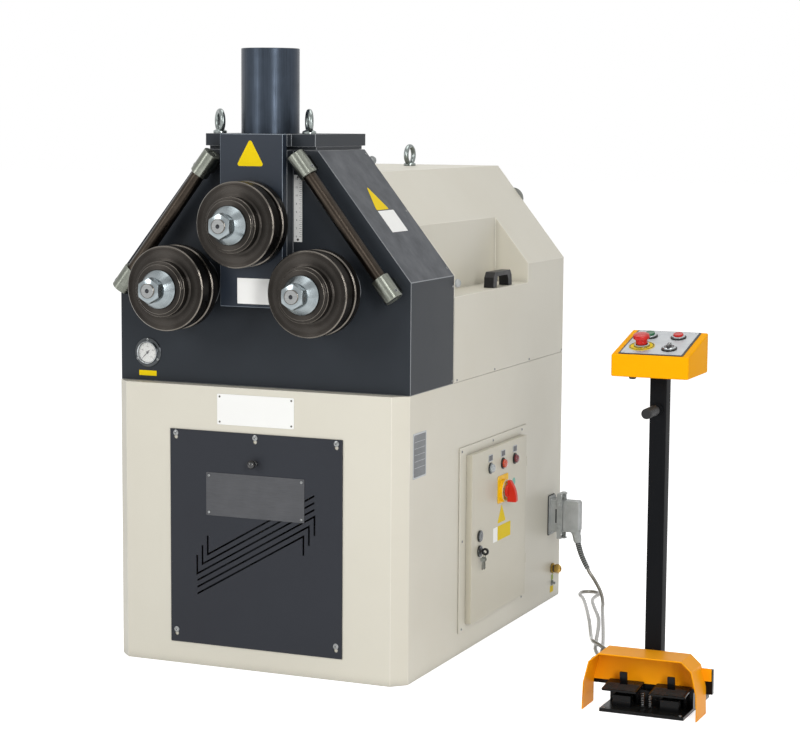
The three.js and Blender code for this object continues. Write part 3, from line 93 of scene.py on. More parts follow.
def linear(code: str) -> tuple[float, float, float, float]:
    """A colour written as on a screen, such as "d8d5c9", as the linear colour that shaders take.

    Args:
        code: six hexadecimal digits.

    Returns:
        Red, green, blue and alpha.
    """
    parts = [int(code[i : i + 2], 16) / 255 for i in (0, 2, 4)]
    lit = [c / 12.92 if c <= 0.04045 else ((c + 0.055) / 1.055) ** 2.4 for c in parts]
    return (lit[0], lit[1], lit[2], 1.0)


class Axis(Enum):
    """The direction that a turned or extruded form runs along."""

    X = (1.0, 0.0, 0.0)
    Y = (0.0, 1.0, 0.0)
    Z = (0.0, 0.0, 1.0)

    def across(self) -> tuple[Vector, Vector]:
        """The two directions across the axis.

        Returns:
            Them, in the order that an outline's numbers take.
        """
        if self is Axis.X:
            return Vector((0, 1, 0)), Vector((0, 0, 1))
        if self is Axis.Y:
            return Vector((1, 0, 0)), Vector((0, 0, 1))
        return Vector((1, 0, 0)), Vector((0, 1, 0))


X, Y, Z = Axis


def directions(axis: Axis | Vector) -> tuple[Vector, Vector, Vector]:
    """The way along an axis and the two ways across it.

    Args:
        axis: an axis, or a direction.

    Returns:
        The way along it, and the two across it in the order that an outline's numbers take.
    """
    if isinstance(axis, Axis):
        return (Vector(axis.value), *axis.across())
    run = axis.normalized()
    side = run.orthogonal().normalized()
    return run, side, run.cross(side)


def circle(count: int) -> Outline:
    """Even steps round a turn.

    Args:
        count: how many.

    Returns:
        The cosine and sine of each.
    """
    turns = (2 * pi * k / count for k in range(count))
    return [(cos(turn), sin(turn)) for turn in turns]


def linked(name: str, data: bpy.types.ID) -> bpy.types.Object:
    """A new object in the scene.

    Args:
        name: its name.
        data: its mesh, lettering, lamp or camera.

    Returns:
        The object.
    """
    made = bpy.data.objects.new(name, data)
    bpy.context.scene.collection.objects.link(made)
    return made


# Shader trees


class Web:
    """Adds and joins the nodes of one shader tree."""

    def __init__(self, tree: bpy.types.NodeTree) -> None:
        """Takes a tree.

        Args:
            tree: what the nodes go into.
        """
        self.tree = tree

    def add(self, kind: str, inputs: dict | None = None, **settings: object) -> bpy.types.Node:
        """Adds a node.

        Args:
            kind: the node's type name.
            inputs: values or sockets for its inputs, by name or number.
            settings: the node's own options.

        Returns:
            The new node.
        """
        node = self.tree.nodes.new(kind)
        for key, value in settings.items():
            setattr(node, key, value)
        for key, value in (inputs or {}).items():
            if isinstance(value, Socket):
                self.tree.links.new(value, node.inputs[key])
            else:
                node.inputs[key].default_value = value
        return node

    def math(self, operation: str, a: object, b: object = 0.0, clamp: bool = False) -> Socket:
        """One sum on two values or sockets.

        Args:
            operation: the Math node's operation.
            a: first value or socket.
            b: second value or socket.
            clamp: keep the result from 0 to 1.

        Returns:
            The result's socket.
        """
        node = self.add("ShaderNodeMath", {0: a, 1: b}, operation=operation, use_clamp=clamp)
        return node.outputs[0]

    def span(
        self, value: object, low: float, high: float, to_low: float = 0.0, to_high: float = 1.0
    ) -> Socket:
        """Maps a value from one span to another, held at both ends.

        Args:
            value: the value's socket.
            low: start of its span.
            high: end of its span.
            to_low: what the start becomes.
            to_high: what the end becomes.

        Returns:
            The mapped value's socket.
        """
        inputs = {0: value, 1: low, 2: high, 3: to_low, 4: to_high}
        return self.add("ShaderNodeMapRange", inputs).outputs[0]

    def blend(self, a: object, b: object, factor: object) -> Socket:
        """Two colours mixed by a mask.

        Args:
            a: colour or socket where the mask is 0.
            b: colour or socket where the mask is 1.
            factor: the mask.

        Returns:
            The mixed colour's socket.
        """
        node = self.add("ShaderNodeMix", {0: factor, 6: a, 7: b}, data_type="RGBA")
        return node.outputs[2]

    def noise(self, vector: object, scale: object, detail: float = 2.0, roughness: float = 0.5) -> Socket:
        """A three-dimensional noise value.

        Args:
            vector: coordinates.
            scale: how many features to a metre.
            detail: octaves.
            roughness: weight of the finer octaves.

        Returns:
            The value's socket.
        """
        inputs = {"Vector": vector, "Scale": scale, "Detail": detail, "Roughness": roughness}
        return self.add("ShaderNodeTexNoise", inputs).outputs[0]

    def object_place(self) -> Socket:
        """Where on the piece a point lies.

        Returns:
            The socket of its place, in metres from the piece's own origin.
        """
        return self.add("ShaderNodeTexCoord").outputs["Object"]

    def bump(self, height: Socket, depth_mm: float, strength: float = 1.0) -> Socket:
        """A normal bent by a height.

        Args:
            height: the height's socket, from 0 to 1.
            depth_mm: what 1 stands for.
            strength: how much of it shows.

        Returns:
            The normal's socket.
        """
        inputs = {"Height": height, "Distance": depth_mm * MM, "Strength": strength}
        return self.add("ShaderNodeBump", inputs).outputs[0]


def effect_group(
    name: str, inputs: dict, outputs: Sequence[str]
) -> tuple[bpy.types.NodeTree, Web, bpy.types.Node]:
    """Starts a node group with named inputs and outputs.

    Args:
        name: the group's name.
        inputs: name to default value, where None stands for a vector.
        outputs: names of its values.

    Returns:
        The group, a Web on it and its input node.
    """
    group = bpy.data.node_groups.new(name, "ShaderNodeTree")
    for key, value in inputs.items():
        kind = "NodeSocketVector" if value is None else "NodeSocketFloat"
        socket = group.interface.new_socket(key, in_out="INPUT", socket_type=kind)
        if value is not None:
            socket.default_value = value
    for key in outputs:
        group.interface.new_socket(key, in_out="OUTPUT", socket_type="NodeSocketFloat")
    web = Web(group)
    return group, web, web.add("NodeGroupInput")


class Effects:
    """The effects that several materials share, each built once."""

    @cached_property
    def paint_skin(self) -> bpy.types.NodeTree:
        """Orange peel and soft clouds of a sprayed coat."""
        inputs = {"Peel Scale": 420.0, "Cloud Scale": 3.0}
        group, web, start = effect_group("paint_skin", inputs, ("Height", "Cloud"))
        here = web.object_place()
        peel = web.noise(here, start.outputs["Peel Scale"], 1.0)
        cloud = web.noise(here, start.outputs["Cloud Scale"], 4.0, 0.6)
        web.add("NodeGroupOutput", {"Height": peel, "Cloud": web.span(cloud, 0.3, 0.7)})
        return group

    @cached_property
    def dust(self) -> bpy.types.NodeTree:
        """Dust that lies on faces that look up, thinner and thicker in patches."""
        group, web, start = effect_group("dust", {"Patch Scale": 18.0}, ("Dust",))
        normal = web.add("ShaderNodeNewGeometry").outputs["Normal"]
        up = web.add("ShaderNodeSeparateXYZ", {0: normal}).outputs[2]
        facing = web.span(up, 0.35, 0.95)
        patch = web.noise(web.object_place(), start.outputs["Patch Scale"], 4.0, 0.65)
        web.add(
            "NodeGroupOutput", {"Dust": web.math("MULTIPLY", facing, web.span(patch, 0.3, 0.75, 0.3, 1.0))}
        )
        return group

    @cached_property
    def turned_marks(self) -> bpy.types.NodeTree:
        """Tool marks that run round an axis, from the distance to it and the place along it."""
        inputs = {"Across": None, "Along": 0.0, "Marks per Metre": 900.0}
        group, web, start = effect_group("turned_marks", inputs, ("Height", "Tone"))
        across = start.outputs["Across"]
        radius = web.add("ShaderNodeVectorMath", {0: across}, operation="LENGTH").outputs["Value"]
        run = web.math("ADD", radius, web.math("MULTIPLY", start.outputs["Along"], 0.83))
        fine, broad = (
            web.add(
                "ShaderNodeTexNoise", {"W": run, "Scale": scale, "Detail": detail}, noise_dimensions="1D"
            ).outputs[0]
            for scale, detail in ((start.outputs["Marks per Metre"], 3.0), (85.0, 2.0))
        )
        stain = web.noise(web.object_place(), 26.0, 3.0, 0.6)
        tone = web.math("ADD", web.math("MULTIPLY", broad, 0.6), web.math("MULTIPLY", stain, 0.4))
        web.add("NodeGroupOutput", {"Height": fine, "Tone": web.span(tone, 0.35, 0.65)})
        return group

    @cached_property
    def brushed_grain(self) -> bpy.types.NodeTree:
        """Long fine scratches along one direction, from coordinates squeezed across it."""
        group, web, start = effect_group("brushed_grain", {"Squeezed": None}, ("Height", "Tone"))
        grain = web.noise(start.outputs["Squeezed"], 1.0, 5.0, 0.6)
        cloud = web.noise(web.object_place(), 22.0, 3.0)
        tone = web.math("ADD", web.math("MULTIPLY", grain, 0.6), web.math("MULTIPLY", cloud, 0.4))
        web.add("NodeGroupOutput", {"Height": grain, "Tone": web.span(tone, 0.35, 0.65)})
        return group

    @cached_property
    def mould_grain(self) -> bpy.types.NodeTree:
        """The fine pebble of moulded plastic and cast metal."""
        group, web, start = effect_group("mould_grain", {"Grain Scale": 900.0}, ("Height", "Tone"))
        here = web.object_place()
        inputs = {"Vector": here, "Scale": start.outputs["Grain Scale"]}
        cell = web.add("ShaderNodeTexVoronoi", inputs).outputs["Distance"]
        cloud = web.noise(here, 35.0, 3.0)
        web.add("NodeGroupOutput", {"Height": cell, "Tone": web.span(cloud, 0.35, 0.65)})
        return group


EFFECTS = Effects()


# Finishes


@dataclass(frozen=True)
class Finish:
    """A surface finish, which makes its own material once."""

    name: str
    colour: str

    def material(self) -> bpy.types.Material:
        """The finish's material, made on first use."""
        title = f"{self.name}_finish"
        made = bpy.data.materials.get(title)
        if made is None:
            made = bpy.data.materials.new(title)
            made.use_nodes = True
            made.node_tree.nodes.clear()
            made.diffuse_color = linear(self.colour)
            web = Web(made.node_tree)
            shader = web.add("ShaderNodeBsdfPrincipled", self.sockets(web))
            web.add("ShaderNodeOutputMaterial", {"Surface": shader.outputs[0]})
        return made

    def sockets(self, web: Web) -> dict:
        """What goes into the shader.

        Args:
            web: the material's Web.

        Returns:
            The shader's inputs by name.
        """
        return {"Base Color": linear(self.colour)}


@dataclass(frozen=True)
class Paint(Finish):
    """A sprayed or powdered coat with orange peel, faint clouds, dust on what looks up and painted shade in
    its crevices.
    """

    shade_colour: str = "b8b3a4"
    dust_colour: str = "a8a496"
    roughness: float = 0.42
    clouds: float = 0.35
    dusty: float = 0.25
    peel: float = 0.05
    gloss: float = 0.5
    # Colour of the shade painted into corners, creases and gaps between parts
    crevice: str = "4a463c"

    def sockets(self, web: Web) -> dict:
        """The coat, with shade painted into its crevices.

        Args:
            web: the material's Web.

        Returns:
            The shader's inputs by name.
        """
        skin = web.add("ShaderNodeGroup", node_tree=EFFECTS.paint_skin)
        dust = web.add("ShaderNodeGroup", node_tree=EFFECTS.dust)
        cloud = web.math("MULTIPLY", skin.outputs["Cloud"], self.clouds)
        base = web.blend(linear(self.colour), linear(self.shade_colour), cloud)
        fallen = web.math("MULTIPLY", dust.outputs["Dust"], self.dusty)
        dusted = web.blend(base, linear(self.dust_colour), fallen)
        # Ambient occlusion finds corners, creases and gaps, where the crevice colour paints their shade
        near = web.add("ShaderNodeAmbientOcclusion", {"Distance": 0.03}, samples=6).outputs["AO"]
        rough = web.span(skin.outputs["Cloud"], 0.0, 1.0, self.roughness - 0.04, self.roughness + 0.06)
        return {
            "Base Color": web.blend(linear(self.crevice), dusted, web.span(near, 0.0, 0.85, 0.35, 1.0)),
            "Roughness": web.math("ADD", rough, web.math("MULTIPLY", fallen, 0.3)),
            "Specular IOR Level": self.gloss, "Normal": web.bump(skin.outputs["Height"], self.peel)
        }


@dataclass(frozen=True)
class Grained(Finish):
    """A finish whose tone, roughness and relief follow the marks of one effect."""

    second: str = "4a423b"
    roughness: float = 0.34
    depth: float = 0.02
    metal: float = 1.0

    def marked(self, web: Web, marks: bpy.types.Node, smoother: float, rougher: float) -> dict:
        """What an effect's tone and height make of the surface.

        Args:
            web: the material's Web.
            marks: the effect's node.
            smoother: how far its smoothest spots lie under the roughness.
            rougher: how far its roughest spots lie over it.

        Returns:
            The shader's inputs by name.
        """
        tone = marks.outputs["Tone"]
        return {
            "Base Color": web.blend(linear(self.colour), linear(self.second), tone),
            "Roughness": web.span(tone, 0.0, 1.0, self.roughness - smoother, self.roughness + rougher),
            "Metallic": self.metal, "Normal": web.bump(marks.outputs["Height"], self.depth)
        }


@dataclass(frozen=True)
class TurnedMetal(Grained):
    """Metal off the lathe, with rings round its axis and a sheen that follows them."""

    axis: Axis = Y
    marks: float = 900.0
    swirl: float = 0.55

    def sockets(self, web: Web) -> dict:
        """The turned surface.

        Args:
            web: the material's Web.

        Returns:
            The shader's inputs by name.
        """
        split = web.add("ShaderNodeSeparateXYZ", {0: web.object_place()}).outputs
        one, other, along = {X: (1, 2, 0), Y: (0, 2, 1), Z: (0, 1, 2)}[self.axis]
        across = web.add("ShaderNodeCombineXYZ", {0: split[one], 1: split[other]}).outputs[0]
        inputs = {"Across": across, "Along": split[along], "Marks per Metre": self.marks}
        marks = web.add("ShaderNodeGroup", inputs, node_tree=EFFECTS.turned_marks)
        tangent = web.add("ShaderNodeTangent", direction_type="RADIAL", axis=self.axis.name)
        return {
            **self.marked(web, marks, 0.06, 0.08), "Anisotropic": self.swirl, "Anisotropic Rotation": 0.25,
            "Tangent": tangent.outputs[0]
        }


@dataclass(frozen=True)
class BrushedMetal(Grained):
    """Metal with long fine scratches in one direction."""

    second: str = "8d8f90"
    roughness: float = 0.35
    depth: float = 0.01
    squeeze: Triple = (20.0, 900.0, 900.0)
    sheen_way: Triple = (1.0, 0.0, 0.0)
    stretch: float = 0.0

    def sockets(self, web: Web) -> dict:
        """The brushed surface.

        Args:
            web: the material's Web.

        Returns:
            The shader's inputs by name.
        """
        inputs = {0: web.object_place(), 1: self.squeeze}
        squeezed = web.add("ShaderNodeVectorMath", inputs, operation="MULTIPLY").outputs[0]
        grain = web.add("ShaderNodeGroup", {"Squeezed": squeezed}, node_tree=EFFECTS.brushed_grain)
        return {
            **self.marked(web, grain, 0.05, 0.08), "Anisotropic": self.stretch,
            "Tangent": web.add("ShaderNodeCombineXYZ", dict(enumerate(self.sheen_way))).outputs[0]
        }


@dataclass(frozen=True)
class Moulded(Grained):
    """Moulded plastic, rubber or cast metal with a pebbled skin and some dust."""

    second: str = "101011"
    roughness: float = 0.45
    depth: float = 0.03
    metal: float = 0.0
    grain: float = 900.0
    coat: float = 0.0
    dusty: float = 0.15
    gloss: float = 0.5

    def sockets(self, web: Web) -> dict:
        """The moulded surface.

        Args:
            web: the material's Web.

        Returns:
            The shader's inputs by name.
        """
        grain = web.add("ShaderNodeGroup", {"Grain Scale": self.grain}, node_tree=EFFECTS.mould_grain)
        dust = web.add("ShaderNodeGroup", {"Patch Scale": 40.0}, node_tree=EFFECTS.dust)
        surface = self.marked(web, grain, 0.05, 0.07)
        fallen = web.math("MULTIPLY", dust.outputs["Dust"], self.dusty)
        return {
            **surface, "Base Color": web.blend(surface["Base Color"], linear("8b877c"), fallen),
            "Specular IOR Level": self.gloss, "Coat Weight": self.coat, "Coat Roughness": 0.08
        }


@dataclass(frozen=True)
class Lens(Finish):
    """A lamp's coloured lens with a faint glow of its own, the middle of each facet painted lighter as a
    glint.
    """

    second: str = "ff9070"
    glow: float = 0.03

    def sockets(self, web: Web) -> dict:
        """The faceted lens.

        Args:
            web: the material's Web.

        Returns:
            The shader's inputs by name.
        """
        grain = web.add("ShaderNodeGroup", {"Grain Scale": 420.0}, node_tree=EFFECTS.mould_grain)
        # The middle of each facet takes the lighter colour, a painted glint
        facet_glint = web.span(grain.outputs["Height"], 0.1, 0.6)
        colour = web.blend(linear(self.second), linear(self.colour), facet_glint)
        return {
            "Base Color": colour, "Roughness": 0.12, "Coat Weight": 0.6, "Coat Roughness": 0.03,
            "Emission Color": colour, "Emission Strength": self.glow,
            "Normal": web.bump(grain.outputs["Height"], 0.12)
        }


@dataclass(frozen=True)
class ClearCover(Finish):
    """The gauge's clear cover."""

    def sockets(self, web: Web) -> dict:
        """Clear plastic with faint wipe marks.

        Args:
            web: the material's Web.

        Returns:
            The shader's inputs by name.
        """
        wipe = web.noise(web.object_place(), 160.0, 3.0)
        return {**super().sockets(web), "Roughness": web.span(wipe, 0.3, 0.7, 0.02, 0.09), "Alpha": 0.1}


@dataclass(frozen=True)
class Sheath(Finish):
    """The cable's braid under its clear sheath, from coordinates along and round the cable."""

    second: str = "4f4b45"
    strands: float = 10.0
    lay: float = 240.0

    def sockets(self, web: Web) -> dict:
        """The woven strands.

        Args:
            web: the material's Web.

        Returns:
            The shader's inputs by name.
        """
        uv = web.add("ShaderNodeTexCoord").outputs["UV"]
        split = web.add("ShaderNodeSeparateXYZ", {0: uv})
        along = web.math("MULTIPLY", split.outputs[0], self.lay * 2 * pi)
        around = web.math("MULTIPLY", split.outputs[1], self.strands * 2 * pi)
        one, other = (web.math("SINE", web.math(way, along, around)) for way in ("ADD", "SUBTRACT"))
        raised = web.span(web.math("MAXIMUM", one, other), -0.2, 1.0)
        tone = web.span(web.noise(web.object_place(), 60.0, 3.0), 0.3, 0.7, 0.0, 0.4)
        shaded = web.math("ADD", web.math("MULTIPLY", raised, -0.6), web.math("ADD", tone, 0.6), True)
        return {
            "Base Color": web.blend(linear(self.colour), linear(self.second), shaded),
            "Metallic": web.span(raised, 0.0, 1.0, 0.2, 0.65), "Roughness": 0.34, "Coat Weight": 0.8,
            "Coat Roughness": 0.08, "Normal": web.bump(raised, 0.25, 0.6)
        }


CREAM = Paint("cream_paint", "d6d2c4", "cfcabb", "d2cdbf", dusty=0.2)
# A lighter cream for rounded edges and the cover's front strip, a painted highlight along them
CREAM_HIGHLIGHT = Paint("cream_paint_highlight", "e6e2d6", "cdc8b9", clouds=0.6, dusty=0.1)
DOOR_CREAM = Paint("door_cream_paint", "c9c4b3", "c2bcaa", "d2cdbf", dusty=0.2)
ANTHRACITE = Paint(
    "anthracite_paint", "2b2f34", "31353a", "94969a", roughness=0.4, clouds=0.6, dusty=0.85, peel=0.06,
    gloss=0.12, crevice="08090a"
)
# A lighter grey for the head's rounded edges, a painted highlight along them
ANTHRACITE_HIGHLIGHT = Paint(
    "anthracite_paint_highlight", "777b80", "9a9c9e", clouds=0.7, roughness=0.34, dusty=0.2, gloss=0.3,
    crevice="26282b"
)
RAM_PAINT = Paint(
    "ram_paint", "242b35", "2b323c", "5b6069", roughness=0.32, clouds=0.5, gloss=0.25, crevice="08090a"
)
# A lighter blue-grey for the ram's rounded edges, a painted highlight along them
RAM_HIGHLIGHT = Paint("ram_paint_highlight", "6d7885", "a0a8b0", clouds=0.7, roughness=0.3, gloss=0.3, crevice="26282b")
TUBE_PAINT = BrushedMetal(
    "tube_paint", "434b56", "3a414a", roughness=0.46, squeeze=(400, 400, 6), sheen_way=(0.0, 0.0, 1.0),
    stretch=0.85
)
PANEL_PAINT = Paint(
    "panel_paint", "282a30", "2d3036", "6f7174", roughness=0.46, clouds=0.6, gloss=0.2, crevice="08090a"
)
BLACK_PAINT = Paint(
    "black_paint", "0b0b0c", "101112", "3a3935", roughness=0.2, clouds=0.5, gloss=0.14, crevice="060606"
)
COLUMN_PAINT = Paint(
    "column_paint", "141517", "1a1b1d", "4a4843", roughness=0.45, clouds=0.5, gloss=0.03, crevice="060606"
)
YELLOW_PAINT = Paint(
    "yellow_paint", "f9ab08", "f2a408", "e8b040", roughness=0.45, clouds=0.5, dusty=0.12, gloss=0.02,
    crevice="b87408"
)
ORANGE_PAINT = Paint(
    "orange_paint", "faa50a", "f09a08", "d9a040", roughness=0.38, clouds=0.5, dusty=0.2, gloss=0.1,
    crevice="e89408"
)
ROLL_STEEL = TurnedMetal("roll_steel", "3b3835", "2e2b28", roughness=0.3, depth=0.03, swirl=0.8)
# Smoother, lighter steel for the discs' chamfers; its lighter tone is a painted highlight along those edges
ROLL_RIM_HIGHLIGHT = TurnedMetal("roll_rim_highlight", "77726b", "605b55", roughness=0.22, depth=0.01, swirl=0.8)
SHAFT_STEEL = TurnedMetal("shaft_steel", "77746f", "55524d", roughness=0.3, marks=600)
ZINC = TurnedMetal("zinc_plate", "949c9f", "7a8285", roughness=0.24, marks=500, depth=0.008, swirl=0.8)
ZINC_Z = TurnedMetal("zinc_plate_upright", "8f9694", "747a78", roughness=0.26, axis=Z, depth=0.008, swirl=0.2)
BAR_STEEL_LEFT, BAR_STEEL_RIGHT = (
    BrushedMetal(
        f"bar_steel_{word}", "443d36", "2e2924", roughness=0.3, squeeze=(500, 500, 500),
        sheen_way=(side * 0.61, 0.0, -0.79), stretch=0.85
    )
    for word, side in (("left", -1), ("right", 1))
)
SOCKET_STEEL_LEFT, SOCKET_STEEL_RIGHT = (
    BrushedMetal(
        f"socket_steel_{word}", "8a8d84", "6c6f67", roughness=0.3, squeeze=(260, 900, 260),
        sheen_way=(side * 0.61, 0.0, -0.79), stretch=0.85
    )
    for word, side in (("left", -1), ("right", 1))
)
BRIGHT_STEEL = BrushedMetal("bright_steel", "a4a6a5", "7b7d7e", roughness=0.28)
CHROME = BrushedMetal("chrome_plate", "c3c7c9", "a7abad", roughness=0.1, depth=0.002)
DARK_CHROME = BrushedMetal("dark_chrome", "585b5d", "3c3f41", roughness=0.14, depth=0.002)
KEY_STEEL = BrushedMetal("key_steel", "7c7f7b", "565953", roughness=0.22, depth=0.004)
BRASS = TurnedMetal("brass", "c8a660", "a08440", roughness=0.24, axis=X, marks=500, swirl=0.3)
SILVER_PLATE = BrushedMetal(
    "silver_plate", "bfc2c3", "aaadb0", roughness=0.42, squeeze=(30, 1400, 1400), metal=0.55
)
BADGE_PLATE = BrushedMetal(
    "badge_plate", "4d4e51", "434447", roughness=0.42, squeeze=(40, 900, 900), metal=0.4
)
RATING_PLATE = BrushedMetal(
    "rating_plate", "6f7275", "5f6265", roughness=0.4, squeeze=(900, 40, 900), metal=0.4
)
WHITE_PLATE = Paint("white_plate", "f4f4f1", "e6e6e2", "cfcdc5", roughness=0.3, crevice="dcdcd8")
YELLOW_LABEL = Paint("yellow_label", "eed016", "e4c412", "dcc050", gloss=0.05, crevice="b8980c")
EARTH_LABEL = Paint("earth_label", "b4b83c", "8fa83a", "b0b070", clouds=1.0, gloss=0.1)
GREEN_LABEL = Paint("green_label", "38a391", "2f9482", "7fa79c", roughness=0.35)
PRINT = Paint("black_print", "1c1c1d", "2a2a2b", "4a4a4a", roughness=0.5, crevice="060606")
BLACK_PLASTIC = Moulded("black_plastic", "1a1a1c", "121213", gloss=0.3)
GLOSS_BLACK = Moulded("gloss_black_plastic", "121214", "18181a", roughness=0.18, depth=0.01, coat=0.4)
RUBBER = Moulded("rubber", "242424", "1b1b1b", roughness=0.62, grain=500)
GREY_CAST = Moulded("grey_cast", "b0b3b2", "a0a4a3", roughness=0.42, grain=700, dusty=0.2, gloss=0.35)
HOOD_PLASTIC = Moulded("hood_grey", "b4b7b6", "a8abaa", roughness=0.4, grain=900, dusty=0.1, gloss=0.3)
DARK_GREY = Moulded("relief_grey", "8f918e", "7f817d", roughness=0.45, grain=700, gloss=0.3)
CAST_IRON = Moulded("cast_iron", "3f4246", "33363a", roughness=0.6, grain=350, depth=0.1, metal=0.3)
RED_PLASTIC = Moulded("red_plastic", "c8201c", "b81a16", roughness=0.28, depth=0.01, coat=0.1, gloss=0.25)
SWITCH_RED = Moulded("switch_red", "d7331f", "c92c1a", roughness=0.35, depth=0.02, gloss=0.2)
SWITCH_YELLOW = Moulded("switch_yellow", "f8c61a", "f2bc12", roughness=0.35, depth=0.02, gloss=0.12)
GREEN_PLASTIC = Moulded("green_plastic", "17683f", "125a36", roughness=0.25, depth=0.01, coat=0.2, gloss=0.3)
CLEAR_LENS = Lens("clear_lens", "8e9496", "c2c7c8")
ORANGE_LENS = Lens("orange_lens", "a62a0a", "e25a24")
RED_LENS = Lens("red_lens", "500410", "a0202a")
GAUGE_COVER = ClearCover("gauge_cover", "f2f4f4")
CABLE_SHEATH = Sheath("cable_sheath", "8f8b80", "4a463f")


# Meshes


def rounded(outline: Outline, radius: float, steps: int = 5) -> Outline:
    """An outline with its corners rounded.

    Args:
        outline: corners in order.
        radius: of the corners.
        steps: points to a corner, less one.

    Returns:
        The outline's points.
    """
    points: list[Pair] = []
    count = len(outline)
    for i in range(count):
        corner = Vector(outline[i])
        before = (Vector(outline[i - 1]) - corner).normalized()
        after = (Vector(outline[(i + 1) % count]) - corner).normalized()
        half = before.angle(after) / 2
        reach = radius / tan(half)
        centre = corner + (before + after).normalized() * radius / sin(half)
        start = corner + before * reach - centre
        end = corner + after * reach - centre
        sweep = start.angle_signed(end)
        for k in range(steps + 1):
            turn = -sweep * k / steps
            c, s = cos(turn), sin(turn)
            points.append((centre.x + start.x * c - start.y * s, centre.y + start.x * s + start.y * c))
    return points


def rectangle(u0: float, u1: float, v0: float, v1: float) -> Outline:
    """A rectangle's corners.

    Args:
        u0: low edge on the first direction.
        u1: high edge on it.
        v0: low edge on the second direction.
        v1: high edge on it.

    Returns:
        The corners in order.
    """
    return [(u0, v0), (u1, v0), (u1, v1), (u0, v1)]


